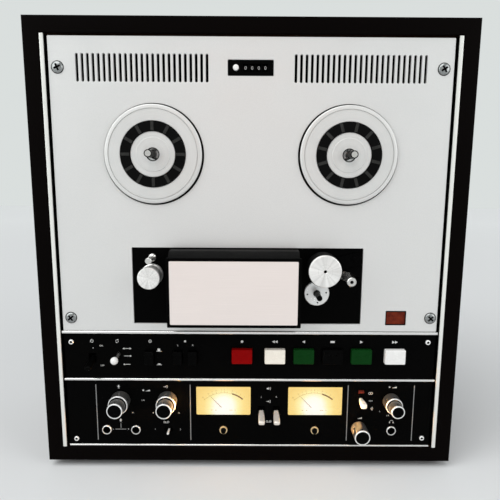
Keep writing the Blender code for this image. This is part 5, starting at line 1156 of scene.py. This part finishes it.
plate = slab(around(0, -94, 250, 60, 1), [around(*INLET, 30, 22, 1.2)], 178.6, 180.2, 0.3)
rear("socket_plate", [plate], DULL, "chassis_steel")
barrels = []
for row, (y, material, slot) in SOCKET_ROWS.items():
    collars = []
    for x in SOCKET_X:
        barrel = lathe([(1.7, 182.6), (1.7, 188.7), (3.9, 188.7), (4.2, 188.4), (4.2, 180),
                        (1.7, 180)], 48, True)
        barrels.append(moved(barrel, x, -y))
        collar = lathe([(4.25, 180.2), (4.25, 182.4), (5.9, 182.4), (6.2, 182.1), (6.2, 180.2)], 48,
                       True)
        collars.append(moved(collar, x, -y))
    rear("socket_collars_" + row, collars, material, slot)
rear("socket_barrels", barrels, CHROME, "chrome")
well = slab(around(*INLET, 35, 27, 2), [around(*INLET, 30, 22, 1.4)], 162.6, 180.9, 0.4)
floor = slab(around(*INLET, 34.6, 26.6, 2), [], 162.6, 165.1)
rear("inlet_well", [well, floor], GLOSS, "black_plastic")
blades = [brick((x - 1, x + 1), (-97, -91), (165, 177), 0.3) for x in (78.5, 91.5)]
rear("inlet_pins", blades, CHROME, "chrome")
for made in screws("rear_screws", [(x, -y) for x in (-196, 0, 196) for y in (31, 437)], 3.4, 1.6,
                   178.3):
    made.data.transform(OUTWARD)

# Pieces that keep their CAD shape

FINISHES = {"rear_cover": HARDBOARD, "chassis": HARDBOARD, "supply_motor": ENAMEL,
            "takeup_motor": ENAMEL, "capstan_motor": ENAMEL, "transformer": ENAMEL,
            "motor_pulley": BRASS, "drive_belt": RUBBER, "amplifier_board": BOARD_GREEN,
            "tape_heads": STEEL}
for name, material in FINISHES.items():
    data = frame["nodes"][name].data
    data.materials.clear()
    data.materials.append(material)

# Stage, light and camera

mesh = bmesh.new()
bmesh.ops.create_grid(mesh, x_segments=1, y_segments=1, size=4)
data = bpy.data.meshes.new("floor")
mesh.to_mesh(data)
mesh.free()
# The floor's colour lightens with distance: painted light that makes up for the lamps' falloff, so
# the floor meets the backdrop.
made, tree, shader = nodes_of("pale_floor")
far = add_node(tree, "VectorMath", {0: add_node(tree, "TexCoord", output="Object")}, "Value",
               operation="LENGTH")
painted_far_light = spread(tree, far, 0, 1, 0.5, 3)
shade(tree, shader, blend(tree, painted_far_light, (0.77, 0.785, 0.79), (0.93, 0.955, 0.955)), 0.85,
      specular=0.05)
data.materials.append(made)
stand = added("floor", data)

scene = bpy.context.scene
scene.view_settings.view_transform = "Standard"
sky = bpy.data.worlds.new("studio")
sky.use_nodes = True
scene.world = sky
tree = sky.node_tree
ambient = tree.nodes["Background"]
fill(tree, ambient, {"Color": (0.82, 0.84, 0.85), "Strength": 0.42})
plain = add_node(tree, "Background", {"Color": (0.7, 0.735, 0.725), "Strength": 1})
rays = add_node(tree, "LightPath").node.outputs
seen = rays["Is Camera Ray"]
for ray in ("Is Glossy Ray", "Is Transmission Ray"):
    seen = add_node(tree, "Math", {0: seen, 1: rays[ray]}, operation="MAXIMUM")
pick = add_node(tree, "MixShader", {0: seen, 1: ambient.outputs[0], 2: plain})
fill(tree, tree.nodes["World Output"], {"Surface": pick})

WARM_TINT = (1, 0.54, 0.2)
RED_TINT = (1, 0.3, 0.12)
SOFTBOX = {"shape": "RECTANGLE", "size": 1.2, "size_y": 1.6}


def lamp(name, kind, power, place=(0, 0, 0), aim=None, tint=(1, 1, 1), **settings):
    """A lamp, turned to a point."""
    data = bpy.data.lights.new(name, kind)
    data.energy = power
    data.color = tint
    for key, value in settings.items():
        setattr(data, key, value)
    made = added(name, data)
    made.location = place
    made.visible_camera = False
    if aim:
        made.rotation_euler = (Vector(aim) - Vector(place)).to_track_quat("-Z", "Y").to_euler()
    return made


def warm_spot(name, power, place, aim, cone=46, fade=0.7, size=0.012, tint=WARM_TINT):
    """A small coloured lamp, for the glow of the meters or of the room."""
    lamp(name, "SPOT", power, world(*place), world(*aim), tint, shadow_soft_size=size,
         spot_size=radians(cone), spot_blend=fade)


sun = lamp("window_light", "SUN", 1.45, angle=radians(50))
sun.rotation_euler = (radians(31), 0, radians(-34))
lamp("left_light", "AREA", 14, (-1.7, -1.1, 1), (0, -0.05, 0.25), (0.98, 1, 1), **SOFTBOX)
lamp("right_light", "AREA", 14, (1.8, -1.2, 1), (0, -0.05, 0.25), **SOFTBOX)
for side, x in METERS.items():
    lamp("meter_light_" + side, "POINT", 0.015, world(x, METER_Y - 5, 9), tint=WARM_TINT,
         shadow_soft_size=0.012)
warm_spot("line_glow", 1.3, (-46, 72, 14), (-87, 76, 8))
warm_spot("level_glow", 2, (98, 60, 14), (115, 47, 6), 24, 0.9, 0.007)
warm_spot("volume_glow", 0.7, (92, 74, 14), (150, 77, 10))
warm_spot("room_glow", 2, (0, 560, 820), (0, 300, 0), 17, 0.9, 0.15, RED_TINT)

lens = bpy.data.cameras.new("camera")
lens.lens = 34.56
lens.sensor_width = 36
lens.clip_start = 0.01
eye = added("camera", lens)
eye.location = (-0.0022, -0.5585, 0.3143)
heading, tilt, roll = (radians(angle) for angle in (-0.2, 80.983, 0.323))
eye.rotation_euler = (Matrix.Rotation(heading, 3, "Z") @ Matrix.Rotation(tilt, 3, "X")
                      @ Matrix.Rotation(roll, 3, "Z")).to_euler()
scene.camera = eye
